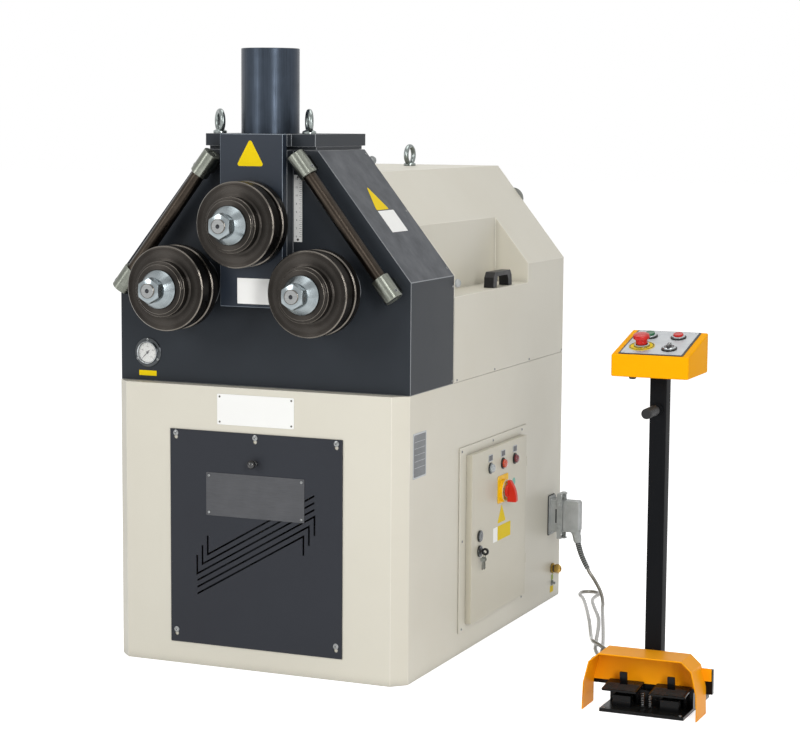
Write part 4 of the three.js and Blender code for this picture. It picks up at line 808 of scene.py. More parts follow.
class Form:
    """A mesh in the making, in the machine's millimetres."""

    def __init__(self) -> None:
        """Starts an empty form."""
        self.bm = bmesh.new()
        self.matrix = Matrix.Identity(4)

    @contextmanager
    def within(self, matrix: Matrix) -> Iterator[None]:
        """What is added inside is moved by a matrix.

        Args:
            matrix: from the added shapes to the form.
        """
        before = self.matrix
        self.matrix = before @ matrix
        yield
        self.matrix = before

    def faces(self, points: Sequence[Vector], faces: Sequence[Sequence[int]], finish: int = 0) -> None:
        """Adds faces.

        Args:
            points: their corners.
            faces: the corners' numbers, face by face.
            finish: number of the finish.
        """
        corners = [self.bm.verts.new(self.matrix @ Vector(p)) for p in points]
        for face in faces:
            made = self.bm.faces.new([corners[i] for i in face])
            made.material_index = finish

    def block(self, low: Point, high: Point, finish: int = 0) -> None:
        """Adds a block between two corners.

        Args:
            low: lowest corner.
            high: highest corner.
            finish: number of the finish.
        """
        self.prism(rectangle(low[0], high[0], low[1], high[1]), Z, low[2], high[2], finish)

    def prism(
        self, outline: Outline, axis: Axis, low: float, high: float, finish: int = 0, top: int | None = None
    ) -> None:
        """Adds an outline given thickness.

        Args:
            outline: its points, on the two directions across the axis.
            axis: the direction of its thickness.
            low: where it starts on the axis.
            high: where it ends.
            finish: number of the finish.
            top: another finish for the high end.
        """
        run, u, v = directions(axis)
        count = len(outline)
        ends = [[u * a + v * b + run * level for a, b in outline] for level in (low, high)]
        sides = [(i, (i + 1) % count, count + (i + 1) % count, count + i) for i in range(count)]
        self.faces(ends[0] + ends[1], [tuple(range(count)), *sides], finish)
        self.faces(ends[1], [tuple(range(count))], finish if top is None else top)

    def plate(
        self, edges: Sequence[float], radius: float, axis: Axis, low: float, high: float, finish: int = 0
    ) -> None:
        """Adds a rectangular plate with rounded corners.

        Args:
            edges: its low and high edge on each of the two directions across the axis.
            radius: of its corners.
            axis: the direction of its thickness.
            low: where it starts on the axis.
            high: where it ends.
            finish: number of the finish.
        """
        self.prism(rounded(rectangle(*edges), radius), axis, low, high, finish)

    def hexahedron(self, corners: Sequence[Vector], finish: int = 0) -> None:
        """Adds a solid of six faces.

        Args:
            corners: four round its one end, then the four over them.
            finish: number of the finish.
        """
        sides = [(i, (i + 1) % 4, (i + 1) % 4 + 4, i + 4) for i in range(4)]
        self.faces(corners, [(0, 1, 2, 3), (4, 5, 6, 7), *sides], finish)

    def lathe(
        self, profile: Outline, centre: Point, axis: Axis | Vector = Y, sides: int = 96, finish: int = 0,
        bands: dict[int, int] | None = None, closed: bool = False
    ) -> None:
        """Adds a turned form.

        Args:
            profile: radius and place along the axis, point by point.
            centre: the axis's zero.
            axis: an axis, or a direction.
            sides: points round the axis.
            finish: number of the finish.
            bands: other finishes, by the number of the profile's stretch.
            closed: the profile's end joins its start, as of a ring.
        """
        run, u, v = directions(axis)
        middle = Vector(centre)
        points: list[Vector] = []
        rings: list[list[int]] = []
        for radius, along in profile:
            first = len(points)
            if radius < ON_AXIS:
                points.append(middle + run * along)
                rings.append([first] * sides)
                continue
            points += [middle + run * along + (u * c + v * s) * radius for c, s in circle(sides)]
            rings.append(list(range(first, first + sides)))
        corners = [self.bm.verts.new(self.matrix @ p) for p in points]
        pairs = [(i, i + 1) for i in range(len(rings) - 1)]
        if closed:
            pairs.append((len(rings) - 1, 0))
        for number, (i, j) in enumerate(pairs):
            for k in range(sides):
                m = (k + 1) % sides
                loop = [rings[i][k], rings[i][m], rings[j][m], rings[j][k]]
                loop = [c for n, c in enumerate(loop) if c not in loop[:n]]
                if len(loop) > 2:
                    made = self.bm.faces.new([corners[c] for c in loop])
                    made.material_index = (bands or {}).get(number, finish)
        if not closed:
            for ring in (rings[0], rings[-1]):
                if ring[0] != ring[1]:
                    made = self.bm.faces.new([corners[c] for c in ring])
                    made.material_index = finish

    def hexagon(
        self, centre: Point, axis: Axis | Vector, flats: float, height: float, finish: int = 0,
        sides: int = 72
    ) -> None:
        """Adds a nut or bolt head with turned corners.

        Args:
            centre: middle of its low end.
            axis: an axis, or a direction.
            flats: width across its flats.
            height: along the axis.
            finish: number of the finish.
            sides: points round it.
        """
        run, u, v = directions(axis)
        middle = Vector(centre)
        inner = flats / 2 * 0.965
        levels: list[list[Vector]] = [[], [], [], []]
        for k in range(sides):
            turn = 2 * pi * k / sides
            off = (turn + pi / 6) % (pi / 3) - pi / 6
            reach = flats / 2 / cos(off)
            drop = (reach - inner) * tan(radians(30))
            way = u * cos(turn) + v * sin(turn)
            profile = ((inner, 0), (reach, drop), (reach, height - drop), (inner, height))
            for level, (radius, along) in zip(levels, profile):
                level.append(middle + run * along + way * radius)
        points = [p for level in levels for p in level]
        faces = [tuple(range(sides)), tuple(range(3 * sides, 4 * sides))]
        for ring in range(3):
            for k in range(sides):
                m = (k + 1) % sides
                faces.append(
                    (ring * sides + k, ring * sides + m, (ring + 1) * sides + m, (ring + 1) * sides + k)
                )
        self.faces(points, faces, finish)

    def tube(
        self, path: Sequence[Point], radius: float | Sequence[float], sides: int = 16, finish: int = 0,
        closed: bool = False
    ) -> None:
        """Adds a round bar along a path.

        Args:
            path: its points.
            radius: one radius, or one for each point.
            sides: points round it.
            finish: number of the finish.
            closed: the path's end joins its start.
        """
        line = [Vector(p) for p in path]
        count = len(line)
        radii = [radius] * count if isinstance(radius, (int, float)) else list(radius)
        rings: list[Vector] = []
        side: Vector | None = None
        for i, here in enumerate(line):
            ahead = line[(i + 1) % count] if closed or i + 1 < count else here
            behind = line[i - 1] if closed or i > 0 else here
            run = (ahead - behind).normalized()
            side = run.orthogonal() if side is None else side - run * side.dot(run)
            side.normalize()
            other = run.cross(side)
            rings += [here + (side * c + other * s) * radii[i] for c, s in circle(sides)]
        faces: list[tuple[int, ...]] = []
        for i in range(count if closed else count - 1):
            j = (i + 1) % count
            for k in range(sides):
                m = (k + 1) % sides
                faces.append((i * sides + k, i * sides + m, j * sides + m, j * sides + k))
        if not closed:
            faces += [tuple(range(sides)), tuple(range((count - 1) * sides, count * sides))]
        self.faces(rings, faces, finish)

    def piece(
        self, name: str, finishes: Sequence[Finish], body: str = "machine", slot: str = "",
        replaces: str = "", origin: Point = (0.0, 0.0, 0.0), bevel: float = 0.0, steps: int = 2
    ) -> bpy.types.Object:
        """Makes the form an object that rides on a body.

        Args:
            name: the piece's name.
            finishes: its finishes, in the order of their numbers.
            body: the CAD body that carries it.
            slot: not used.
            replaces: the CAD node that it stands for.
            origin: the piece's own zero.
            bevel: width of the rounding on its sharp edges.
            steps: faces across that rounding.

        Returns:
            The object.
        """
        base = Vector(origin)
        bmesh.ops.remove_doubles(self.bm, verts=self.bm.verts, dist=MERGE_GAP)
        bmesh.ops.recalc_face_normals(self.bm, faces=self.bm.faces)
        for corner in self.bm.verts:
            corner.co = (corner.co - base) * MM
        for face in self.bm.faces:
            face.smooth = True
        for edge in self.bm.edges:
            if len(edge.link_faces) == 2:
                edge.smooth = edge.calc_face_angle(0.0) < SHARP
        mesh = bpy.data.meshes.new(name)
        self.bm.to_mesh(mesh)
        self.bm.free()
        for finish in finishes:
            mesh.materials.append(finish.material())
        made = linked(name, mesh)
        made.location = place(*base)
        if bevel:
            round_edges(made, bevel, steps)
        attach(made, body)
        if replaces:
            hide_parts(replaces)
        return made


def round_edges(piece: bpy.types.Object, width: float, steps: int = 2, highlight_finish: int = 0) -> None:
    """Rounds a piece's sharp edges.

    Args:
        piece: the object.
        width: of the rounding, in millimetres.
        steps: faces across it.
        highlight_finish: number of a lighter finish that the rounding takes as a painted highlight, or 0 for
            its neighbours' own.
    """
    rounding = piece.modifiers.new("edge_round", "BEVEL")
    rounding.width = width * MM
    rounding.segments = steps
    rounding.limit_method = "ANGLE"
    rounding.angle_limit = ROUNDED
    rounding.harden_normals = True
    rounding.miter_outer = "MITER_ARC"
    # The rounding's faces take the lighter finish, which paints a highlight along the edge
    if highlight_finish:
        rounding.material = highlight_finish


def weld_group() -> bpy.types.NodeTree:
    """The modifier that welds a CAD solid's faces and shades its round faces smooth.

    Returns:
        Its node group, made on first use.
    """
    found = bpy.data.node_groups.get("weld_and_smooth")
    if found:
        return found
    group = bpy.data.node_groups.new("weld_and_smooth", "GeometryNodeTree")
    group.interface.new_socket("Geometry", in_out="INPUT", socket_type="NodeSocketGeometry")
    group.interface.new_socket("Geometry", in_out="OUTPUT", socket_type="NodeSocketGeometry")
    web = Web(group)
    start = web.add("NodeGroupInput")
    bare = web.add("GeometryNodeRemoveAttribute", {"Geometry": start.outputs[0], "Name": "custom_normal"})
    welded = web.add("GeometryNodeMergeByDistance", {"Geometry": bare.outputs[0], "Distance": WELD_GAP})
    smooth = web.add("GeometryNodeSetShadeSmooth", {0: welded.outputs[0]})
    angle = web.add("GeometryNodeInputMeshEdgeAngle")
    soft = web.add(
        "FunctionNodeCompare", {0: angle.outputs[0], 1: SHARP}, data_type="FLOAT", operation="LESS_THAN"
    )
    edges = web.add("GeometryNodeSetShadeSmooth", {0: smooth.outputs[0], 2: soft.outputs[0]}, domain="EDGE")
    web.add("NodeGroupOutput", {0: edges.outputs[0]})
    return group


def dress(node: str, finishes: Sequence[Finish], rounding: float = 0.0, steps: int = 2) -> bpy.types.Object:
    """Gives a CAD node its finish and rounds its sharp edges.

    Args:
        node: the node's name.
        finishes: its finish, and where the edges take a lighter finish as a painted highlight, that finish.
        rounding: width of the rounding, in millimetres.
        steps: faces across it.

    Returns:
        The node's object.
    """
    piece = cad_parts[node]
    piece.data.materials.clear()
    for finish in finishes:
        piece.data.materials.append(finish.material())
    weld = piece.modifiers.new("weld", "NODES")
    weld.node_group = weld_group()
    if rounding:
        round_edges(piece, rounding, steps, 1 if len(finishes) > 1 else 0)
    log.info("dressed %s", node)
    return piece


def lettering(text: str, size: float, middle: Point, right: Vector, body: str, name: str) -> None:
    """Plain figures printed on an upright face.

    Args:
        text: the figures.
        size: their height in millimetres.
        middle: the middle of the print.
        right: the way it reads.
        body: the body that it rides on.
        name: the piece's name.
    """
    curve = bpy.data.curves.new(name, "FONT")
    curve.body = text
    curve.size = size * FONT_BODY * MM
    curve.align_x = "CENTER"
    curve.align_y = "CENTER"
    draft = linked(f"{name}_draft", curve)
    bpy.context.view_layer.update()
    mesh = bpy.data.meshes.new_from_object(draft.evaluated_get(bpy.context.evaluated_depsgraph_get()))
    bpy.data.objects.remove(draft)
    mesh.materials.clear()
    mesh.materials.append(PRINT.material())
    made = linked(name, mesh)
    turn = Matrix((right, UP, right.cross(UP))).transposed().to_4x4()
    made.matrix_world = Matrix.Translation(place(*middle)) @ turn
    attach(made, body)


# Studio


@dataclass
class Studio:
    """The camera, lamps, floor and surroundings."""

    stand: Triple = (2.4157, -5.3576, 1.3845)
    yaw: float = 23.02
    pitch: float = 6.84
    roll: float = 0.4
    focal: float = 98.12

    def camera(self) -> None:
        """Sets the camera at the photograph's angle."""
        yaw, pitch, roll = (radians(a) for a in (self.yaw, self.pitch, self.roll))
        ahead = Vector((-sin(yaw) * cos(pitch), cos(yaw) * cos(pitch), -sin(pitch)))
        level = Vector((cos(yaw), sin(yaw), 0))
        up = level.cross(ahead)
        right = level * cos(roll) + up * sin(roll)
        top = up * cos(roll) - level * sin(roll)
        data = bpy.data.cameras.new("camera")
        data.lens = self.focal
        data.sensor_width = 36
        data.sensor_fit = "HORIZONTAL"
        data.clip_end = 100
        camera = linked("camera", data)
        turn = Matrix((right, top, -ahead)).transposed().to_4x4()
        camera.matrix_world = Matrix.Translation(Vector(self.stand)) @ turn
        bpy.context.scene.camera = camera

    def lamp(self, name: str, stand: Point, aim: Point, size: Pair, power: float) -> None:
        """Adds a soft lamp.

        Args:
            name: the lamp's name.
            stand: where it is, in metres.
            aim: what it points at.
            size: its width and height.
            power: in watts.
        """
        data = bpy.data.lights.new(name, "AREA")
        data.shape = "RECTANGLE"
        data.size, data.size_y = size
        data.energy = power
        lamp = linked(name, data)
        lamp.location = stand
        lamp.rotation_mode = "QUATERNION"
        lamp.rotation_quaternion = (Vector(aim) - Vector(stand)).to_track_quat("-Z", "Y")

    def seen(self, web: Web) -> Socket:
        """Where a surface is looked at, straight, in a reflection or through something clear.

        Args:
            web: the tree's Web.

        Returns:
            A socket that is 1 there, and 0 for the light that the surface gives.
        """
        rays = web.add("ShaderNodeLightPath").outputs
        looked = web.math("MAXIMUM", rays["Is Camera Ray"], rays["Is Glossy Ray"])
        return web.math("MAXIMUM", looked, rays["Is Transmission Ray"])

    def floor(self) -> None:
        """Adds the pale floor, which keeps the object's shadow."""
        mesh = bpy.data.meshes.new("floor")
        reach, under = 40.0, -0.001
        corners = rectangle(-reach, reach, -reach, reach)
        mesh.from_pydata([(x, y, under) for x, y in corners], [], [(0, 1, 2, 3)])
        material = bpy.data.materials.new("floor_paper")
        material.use_nodes = True
        material.node_tree.nodes.clear()
        web = Web(material.node_tree)
        paper = web.add("ShaderNodeBsdfDiffuse", {"Color": (0.86, 0.86, 0.86, 1.0)})
        strength = web.math("MULTIPLY", self.seen(web), 0.82)
        glow = web.add("ShaderNodeEmission", {"Color": linear("ffffff"), "Strength": strength})
        mix = web.add("ShaderNodeAddShader", {0: paper.outputs[0], 1: glow.outputs[0]})
        web.add("ShaderNodeOutputMaterial", {"Surface": mix.outputs[0]})
        mesh.materials.append(material)
        floor = linked("floor", mesh)

    def surroundings(self, light: float) -> None:
        """Sets the white background and the light that comes from all round.

        Args:
            light: strength of that light.
        """
        world = bpy.data.worlds.new("studio")
        world.use_nodes = True
        world.node_tree.nodes.clear()
        bpy.context.scene.world = world
        web = Web(world.node_tree)
        dim, white = (
            web.add("ShaderNodeBackground", {"Color": linear("ffffff"), "Strength": s}) for s in (light, 1.0)
        )
        mix = web.add("ShaderNodeMixShader", {0: self.seen(web), 1: dim.outputs[0], 2: white.outputs[0]})
        web.add("ShaderNodeOutputWorld", {"Surface": mix.outputs[0]})

    def build(self) -> None:
        """Makes the whole studio."""
        self.camera()
        self.floor()
        self.surroundings(0.32)
        self.lamp("key", (-2.8, -5.2, 3.2), (0.0, -0.3, 0.8), (1.6, 2.4), 105)
        self.lamp("side", (3.45, -4.1, 2.0), (0.2, -0.3, 0.9), (0.8, 2.8), 130)
        self.lamp("top", (0.4, 0.3, 4.6), (0.2, 0.0, 0.0), (3.0, 2.4), 57)
        bpy.context.scene.view_settings.view_transform = "Standard"


# Cable


@dataclass
class ControlCable:
    """The cable from the plug connector's hood to the pedestal's foot, in a long loop on the floor."""

    diameter: float = 10.0
    sides: int = 14
    route: tuple[Triple, ...] = (
        (514.5, 1086, 101), (519.5, 1086, 91), (537, 1083, 69), (562, 1062, 42), (581, 1024, 22),
        (592, 988, 12.6), (628, 880, 6.6), (665, 768, 5.6), (700, 658, 5.6), (722, 585, 5.6), (741, 520, 5.6),
        (749.5, 505.5, 5.6), (764.5, 481, 5.6), (781, 470, 5.6), (799, 446.5, 5.6), (796.5, 426.5, 5.6),
        (777, 413, 5.6), (752.5, 419.5, 5.6), (737.5, 456, 5.6), (742, 480, 5.6), (726, 520, 5.6),
        (713, 550, 5.6), (700.5, 592, 5.6), (682, 655, 5.6), (615, 880, 5.6), (522, 1113.5, 5.6),
        (517, 1160, 5.6), (516.5, 1193, 5.6), (503.5, 1209.5, 5.6), (486, 1213.5, 5.6), (470, 1206.5, 5.6),
        (462, 1191.5, 5.6), (467, 1162, 5.6), (490, 1121, 5.6), (587, 880, 5.6), (664, 665, 7.6),
        (679, 624, 12.6), (696, 587, 17), (727, 551, 17), (766, 512, 10.6), (855, 414, 6.6), (965, 276, 15),
        (965, 256, 16)
    )

    def curve(self, steps: int = 22) -> list[Vector]:
        """The smooth curve through the route, as the CAD solid follows it.

        Args:
            steps: points to a stretch of the route.

        Returns:
            The curve's points, in the machine's millimetres.
        """
        knots = [Vector(p) for p in self.route]
        ends = [knots[0] * 2 - knots[1], *knots, knots[-1] * 2 - knots[-2]]
        line: list[Vector] = []
        for p0, p1, p2, p3 in zip(ends, ends[1:], ends[2:], ends[3:]):
            t0, t1, t2 = ((b - a).length ** 0.5 for a, b in ((p0, p1), (p1, p2), (p2, p3)))
            m1 = (p1 - p0) / t0 - (p2 - p0) / (t0 + t1) + (p2 - p1) / t1
            m2 = (p2 - p1) / t1 - (p3 - p1) / (t1 + t2) + (p3 - p2) / t2
            m1, m2 = m1 * t1, m2 * t1
            for k in range(steps):
                t = k / steps
                line.append(
                    p1 * (2 * t**3 - 3 * t**2 + 1) + m1 * (t**3 - 2 * t**2 + t) + p2 * (3 * t**2 - 2 * t**3)
                    + m2 * (t**3 - t**2)
                )
        line.append(knots[-1])
        return line

    def build(self) -> None:
        line = self.curve()
        form = Form()
        form.tube(line, self.diameter / 2, self.sides)
        cable = form.piece(
            "control_cable_sheath", (CABLE_SHEATH,), "machine", "cable_sheath", "control_cable"
        )
        lengths = [0.0]
        for a, b in zip(line, line[1:]):
            lengths.append(lengths[-1] + (b - a).length)
        self.wrap(cable.data, lengths)

    def wrap(self, mesh: bpy.types.Mesh, lengths: Sequence[float]) -> None:
        """Gives the tube coordinates along and round it, for its braid.

        Args:
            mesh: the tube.
            lengths: the distance along the cable of each ring, in millimetres.
        """
        layer = mesh.uv_layers.new(name="along_and_round")
        for face in mesh.polygons:
            numbers = [mesh.loops[i].vertex_index for i in face.loop_indices]
            turns = [(n % self.sides) / self.sides for n in numbers]
            wraps = max(turns) - min(turns) > 0.5
            for loop, number, turn in zip(face.loop_indices, numbers, turns):
                round_it = turn + 1.0 if wraps and turn < 0.5 else turn
                ring = min(number // self.sides, len(lengths) - 1)
                layer.data[loop].uv = (lengths[ring] * MM, round_it)


# Cabinet


def screw(form: Form, centre: Point, out: Vector, radius: float, finish: int, recess_shade_finish: int) -> None:
    """Adds a domed screw head with a cross recess, whose hollow is a dark block of painted shade.

    Args:
        form: what it is added to.
        centre: where it sits.
        out: the way it looks.
        radius: of the head.
        finish: number of its finish.
        recess_shade_finish: number of the recess's finish, a dark one that paints the shade in the hollow.
    """
    rise = radius * 0.55
    dome = [(radius, 0), (radius, rise * 0.35), (radius * 0.8, rise * 0.8), (radius * 0.42, rise), (0, rise)]
    form.lathe(dome, centre, out, 20, finish)
    run, u, v = directions(out)
    at = Vector(centre) + run * (rise - radius * 0.08)
    # The cross recess is a dark block that paints the shade in its hollow
    for a, b in ((u, v), (v, u)):
        corners = [
            at + a * s * radius * 0.5 + b * t * radius * 0.1 + run * h * radius * 0.12 for h in (0, 1)
            for s, t in ((-1, -1), (1, -1), (1, 1), (-1, 1))
        ]
        form.hexahedron(corners, recess_shade_finish)


@dataclass
class Cabinet:
    """The cabinet with its front panel and plates."""

    panel_face: float = -2.8
    screws: tuple[Pair, ...] = ((-222, 591), (0, 591), (222, 591), (-222, 87), (222, 87))
    badge: tuple[float, float, float, float] = (-136, 136, 388, 497)
    name_plate: tuple[float, float, float, float] = (-106, 106, 619, 696)

    def shell(self) -> None:
        """Dresses the welded cabinet and the panel."""
        dress("cabinet_shell", (CREAM, CREAM_HIGHLIGHT), 1.6)
        dress("front_panel", (PANEL_PAINT,))

    def corner_screws(
        self, plate: Form, edges: Sequence[float], inset: float, face: float, radius: float
    ) -> None:
        """Adds a screw at each corner of a plate on the front.

        Args:
            plate: what they are added to.
            edges: the plate's left, right, low and high edge.
            inset: from the edges to the screws.
            face: the plate's face, on y.
            radius: of the heads.
        """
        left, right, low, high = edges
        for x in (left + inset, right - inset):
            for z in (low + inset, high - inset):
                screw(plate, (x, face, z), FRONT, radius, 1, 2)

    def panel_fittings(self) -> None:
        """The panel's screws, its knob and the two bare plates."""
        form = Form()
        for x, z in self.screws:
            form.lathe([(7, 0), (7, -0.9), (6.2, -1.2), (0, -1.2)], (x, self.panel_face, z), Y, 28)
            screw(form, (x, self.panel_face - 1.2, z), FRONT, 5.2, 0, 1)
        form.piece("panel_screws", (BRIGHT_STEEL, PRINT), slot="bright_steel")

        knob = Form()
        ball = 10.9
        bows = [radians(degrees) for degrees in range(8, 150, 6)]
        profile = [(0, -29.9), *((ball * sin(a), -19 - ball * cos(a)) for a in bows)]
        profile += [(6.2, -9.2), (6.2, -6.5), (7.6, -5.6), (7.6, -0.2), (0, -0.2)]
        with knob.within(Matrix.Translation((0, -3, 527))):
            knob.lathe(profile, (0, 0, 0), Y, 48)
        knob.piece(
            "panel_ball_knob", (GLOSS_BLACK,), "panel", "black_plastic", "panel_knob", origin=(0, -3, 527)
        )

        plate = Form()
        plate.plate(self.badge, 2.5, Y, -4.0, self.panel_face)
        self.corner_screws(plate, self.badge, 8, -4.0, 3.6)
        plate.piece("badge_plate_blank", (BADGE_PLATE, BRIGHT_STEEL, PRINT), "panel", "grey_metal", bevel=0.4)

        plate = Form()
        plate.plate(self.name_plate, 3, Y, -1.2, 0.0)
        self.corner_screws(plate, self.name_plate, 7, -1.2, 2.6)
        plate.piece("name_plate_blank", (WHITE_PLATE, SHAFT_STEEL, PRINT), slot="grey_metal", bevel=0.3)

    def rating_plate(self) -> None:
        """The bare rating plate on the right side, with ruled fields."""
        form = Form()
        form.plate((54, 137, 506, 618), 2, X, SIDE_WALL, 400.9)
        form.plate((58, 133, 510, 614), 1, X, 400.9, 401.0, 1)
        for z in (596, 580, 564, 548, 532):
            form.block((401.0, 62, z), (401.15, 129, z + 0.9), 2)
        for y in (58, 133):
            for z in (510, 614):
                form.lathe([(1.8, 0), (1.5, 0.7), (0, 0.9)], (400.9, y, z), X, 12, 2)
        form.piece("rating_plate_blank", (SILVER_PLATE, RATING_PLATE, SILVER_PLATE), slot="grey_metal")

    def build(self) -> None:
        """Builds and dresses the cabinet."""
        self.shell()
        self.panel_fittings()
        self.rating_plate()
        dress("hydraulic_unit", (CAST_IRON,), 3)
        log.info("cabinet")


@dataclass
class ElectricalDoor:
    """The door on the right side, with its lamps, main switch, locks and keys."""

    face: float = 420.0
    lamps: Triple = (536, 630, 721)
    lamp_height: float = 466
    switch: Pair = (632, 392)
    lock_y: float = 460
    locks: Pair = (298, 258)

    def shell(self) -> None:
        """Dresses the frame and the door and adds their screws."""
        dress("door_frame", (CREAM, CREAM_HIGHLIGHT), 0.6)
        dress("cabinet_door", (DOOR_CREAM, CREAM_HIGHLIGHT), 1.8)
        form = Form()
        spots = ((372, 531), (597, 531), (821, 531), (378, 296), (378, 65), (832, 60))
        for y, z in spots:
            screw(form, (403.8, y, z), RIGHT, 3.4, 0, 1)
        form.piece("door_frame_screws", (BRIGHT_STEEL, PRINT), slot="bright_steel")

    def pilot_lamps(self) -> None:
        """Three lamps, each in a bezel, with a blank tag over it."""
        lenses = (("clear", CLEAR_LENS), ("orange", ORANGE_LENS), ("red", RED_LENS))
        for y, (word, lens) in zip(self.lamps, lenses):
            form = Form()
            at = (self.face, y, self.lamp_height)
            form.lathe([(15, 0), (15, 2.4), (14, 3.4), (11.6, 3.6), (11.6, 0)], at, X, 48)
            rises = [radians(degrees) for degrees in range(10, 90, 10)]
            dome = [(11.5 * cos(a), 7.5 + 6 * sin(a)) for a in rises]
            form.lathe([(11.5, 1.5), (11.5, 7.5), *dome, (0, 13.5)], at, X, 48, 1)
            bezel = DARK_CHROME if word == "clear" else BLACK_PLASTIC
            form.piece(f"pilot_lamp_{word}", (bezel, lens), "door", "bright_steel", origin=at)
            tag = Form()
            low, high, front = self.lamp_height + 18, self.lamp_height + 36, self.face + 1.2
            tag.plate((y - 15, y + 15, low, high), 1.2, X, self.face, front)
            tag.prism(rectangle(y - 13, y + 13, low + 2, high - 2), X, front, self.face + 1.35, 1)
            tag.piece(f"lamp_tag_{word}", (SILVER_PLATE, BADGE_PLATE), "door", "grey_metal")

    def main_switch(self) -> None:
        """The yellow plate and collar, and the red grip that turns on it."""
        y, z = self.switch
        form = Form()
        form.plate((y - 41, y + 38, z - 31, z + 43), 6, X, self.face, self.face + 1.6)
        collar = [(30.5, 1.0), (30.5, 8.5), (29.3, 10.6), (27, 11.0), (18.5, 11.0), (18.5, 9.0), (0, 9.0)]
        form.lathe(collar, (self.face, y, z), X, 72)
        form.piece("main_switch_plate", (SWITCH_YELLOW,), "door", "yellow_paint", bevel=0.4)
        for text, dy, dz in (("OFF", -22.5, 8.0), ("ON", -22.5, -8.0)):
            spot = (self.face + 11.2, y + dy, z + dz)
            lettering(text, 3.4, spot, -FRONT, "door", f"switch_word_{text.lower()}")
        grip = Form()
        base = self.face + 11.3
        grip.lathe([(17, 0), (17, 5), (15.5, 8), (0, 8)], (base, y, z), X, 48)
        slope = [(base + 29.6 - 17 * t**2.2, z - 26 + 54 * t) for t in (k / 12 for k in range(13))]
        foot, head = [(base + 4, z - 29), (base + 28, z - 29)], [(base + 9, z + 29.5), (base + 4, z + 29.5)]
        grip.prism([*foot, *slope, *head], Y, y - 7.4, y + 7.4)
        grip.piece(
            "main_switch_fin", (SWITCH_RED,), "main_switch", "red_plastic", "main_switch_grip",
            origin=(base, y, z), bevel=2.2, steps=4
        )

    def labels(self) -> None:
        """Blank labels where the photograph shows printed ones."""
        form = Form()
        form.lathe([(11, 0), (11, 0.4), (0, 0.4)], (self.face, 717, 403), X, 40)
        form.piece("round_label_blank", (GREEN_LABEL,), "door")
        form = Form()
        form.prism(rounded([(593, 308), (656, 308), (624.5, 356)], 3), X, self.face, self.face + 0.4)
        form.plate((596, 694, 261, 300), 2, X, self.face, self.face + 0.4)
        form.plate((562, 594, 261, 300), 2, X, self.face, self.face + 0.4, 1)
        form.piece("door_labels_blank", (YELLOW_LABEL, WHITE_PLATE), "door")

    def locks_and_keys(self) -> None:
        """Two cylinder locks, the key in the lower one and the keys that hang from it."""
        form = Form()
        for z, face in zip(self.locks, (0, 1)):
            at = (self.face, self.lock_y, z)
            form.lathe([(15.2, 0), (15.2, 4.6), (14.2, 5.4), (11.8, 5.6), (11.2, 5.2)], at, X, 48)
            form.lathe([(11.2, 5.15), (10.6, 5.6), (0, 5.6)], at, X, 48, 2 * face)
            # Each keyway is a dark block that paints the shade in the slot
            form.block((425.6, self.lock_y - 1.1, z - 5), (425.8, self.lock_y + 1.1, z + 5), 1)
        form.piece("door_locks", (DARK_CHROME, PRINT, BLACK_PLASTIC), "door", "bright_steel")

        y, z = self.lock_y, self.locks[1]
        middle, outer, hole = 437.0, 9.8, 4.2
        key = Form()
        key.plate((425.9, middle - hole - 1, z - 2.8, z + 2.8), 1, Y, y - 1.2, y + 1.2, 1)
        bow = [(hole, -2.2), (hole + 0.8, -2.9), (outer - 1, -2.9), (outer, -2.0)]
        bow += [(radius, -along) for radius, along in reversed(bow)]
        key.lathe(bow, (middle, y, z), Y, 48, 0, None, True)
        key.piece("door_key_bow", (BLACK_PLASTIC, BRIGHT_STEEL), "key", "black_plastic", "door_key")

        ring = Form()
        loop = [(middle - 2.4, y + 7.6 * c, z - 10.5 + 8.5 * s) for c, s in circle(32)]
        ring.tube(loop, 0.8, 10, 0, True)
        blade = [
            (-2.6, -14), (-2.6, -32), (-0.8, -35), (2, -32), (3.2, -29), (2.2, -26), (3.2, -23), (2.6, -14)
        ]
        for lean, side, foot in ((-0.08, -1.6, 431.5), (0.1, 1.6, 433.5)):
            turn = Matrix.Rotation(lean, 4, "X") @ Matrix.Rotation(radians(35), 4, "Z")
            with ring.within(Matrix.Translation((foot, y + side, z - 14)) @ turn):
                ring.prism([(6.4 * c, -7 + 7 * s) for c, s in circle(24)], Y, -0.9, 0.9)
                ring.prism(blade, Y, -0.8, 0.8)
        ring.piece("hanging_keys", (KEY_STEEL,), "key", "bright_steel", bevel=0.2)

    def build(self) -> None:
        """Builds and dresses the door."""
        self.shell()
        self.pilot_lamps()
        self.main_switch()
        self.labels()
        self.locks_and_keys()
        log.info("electrical door")


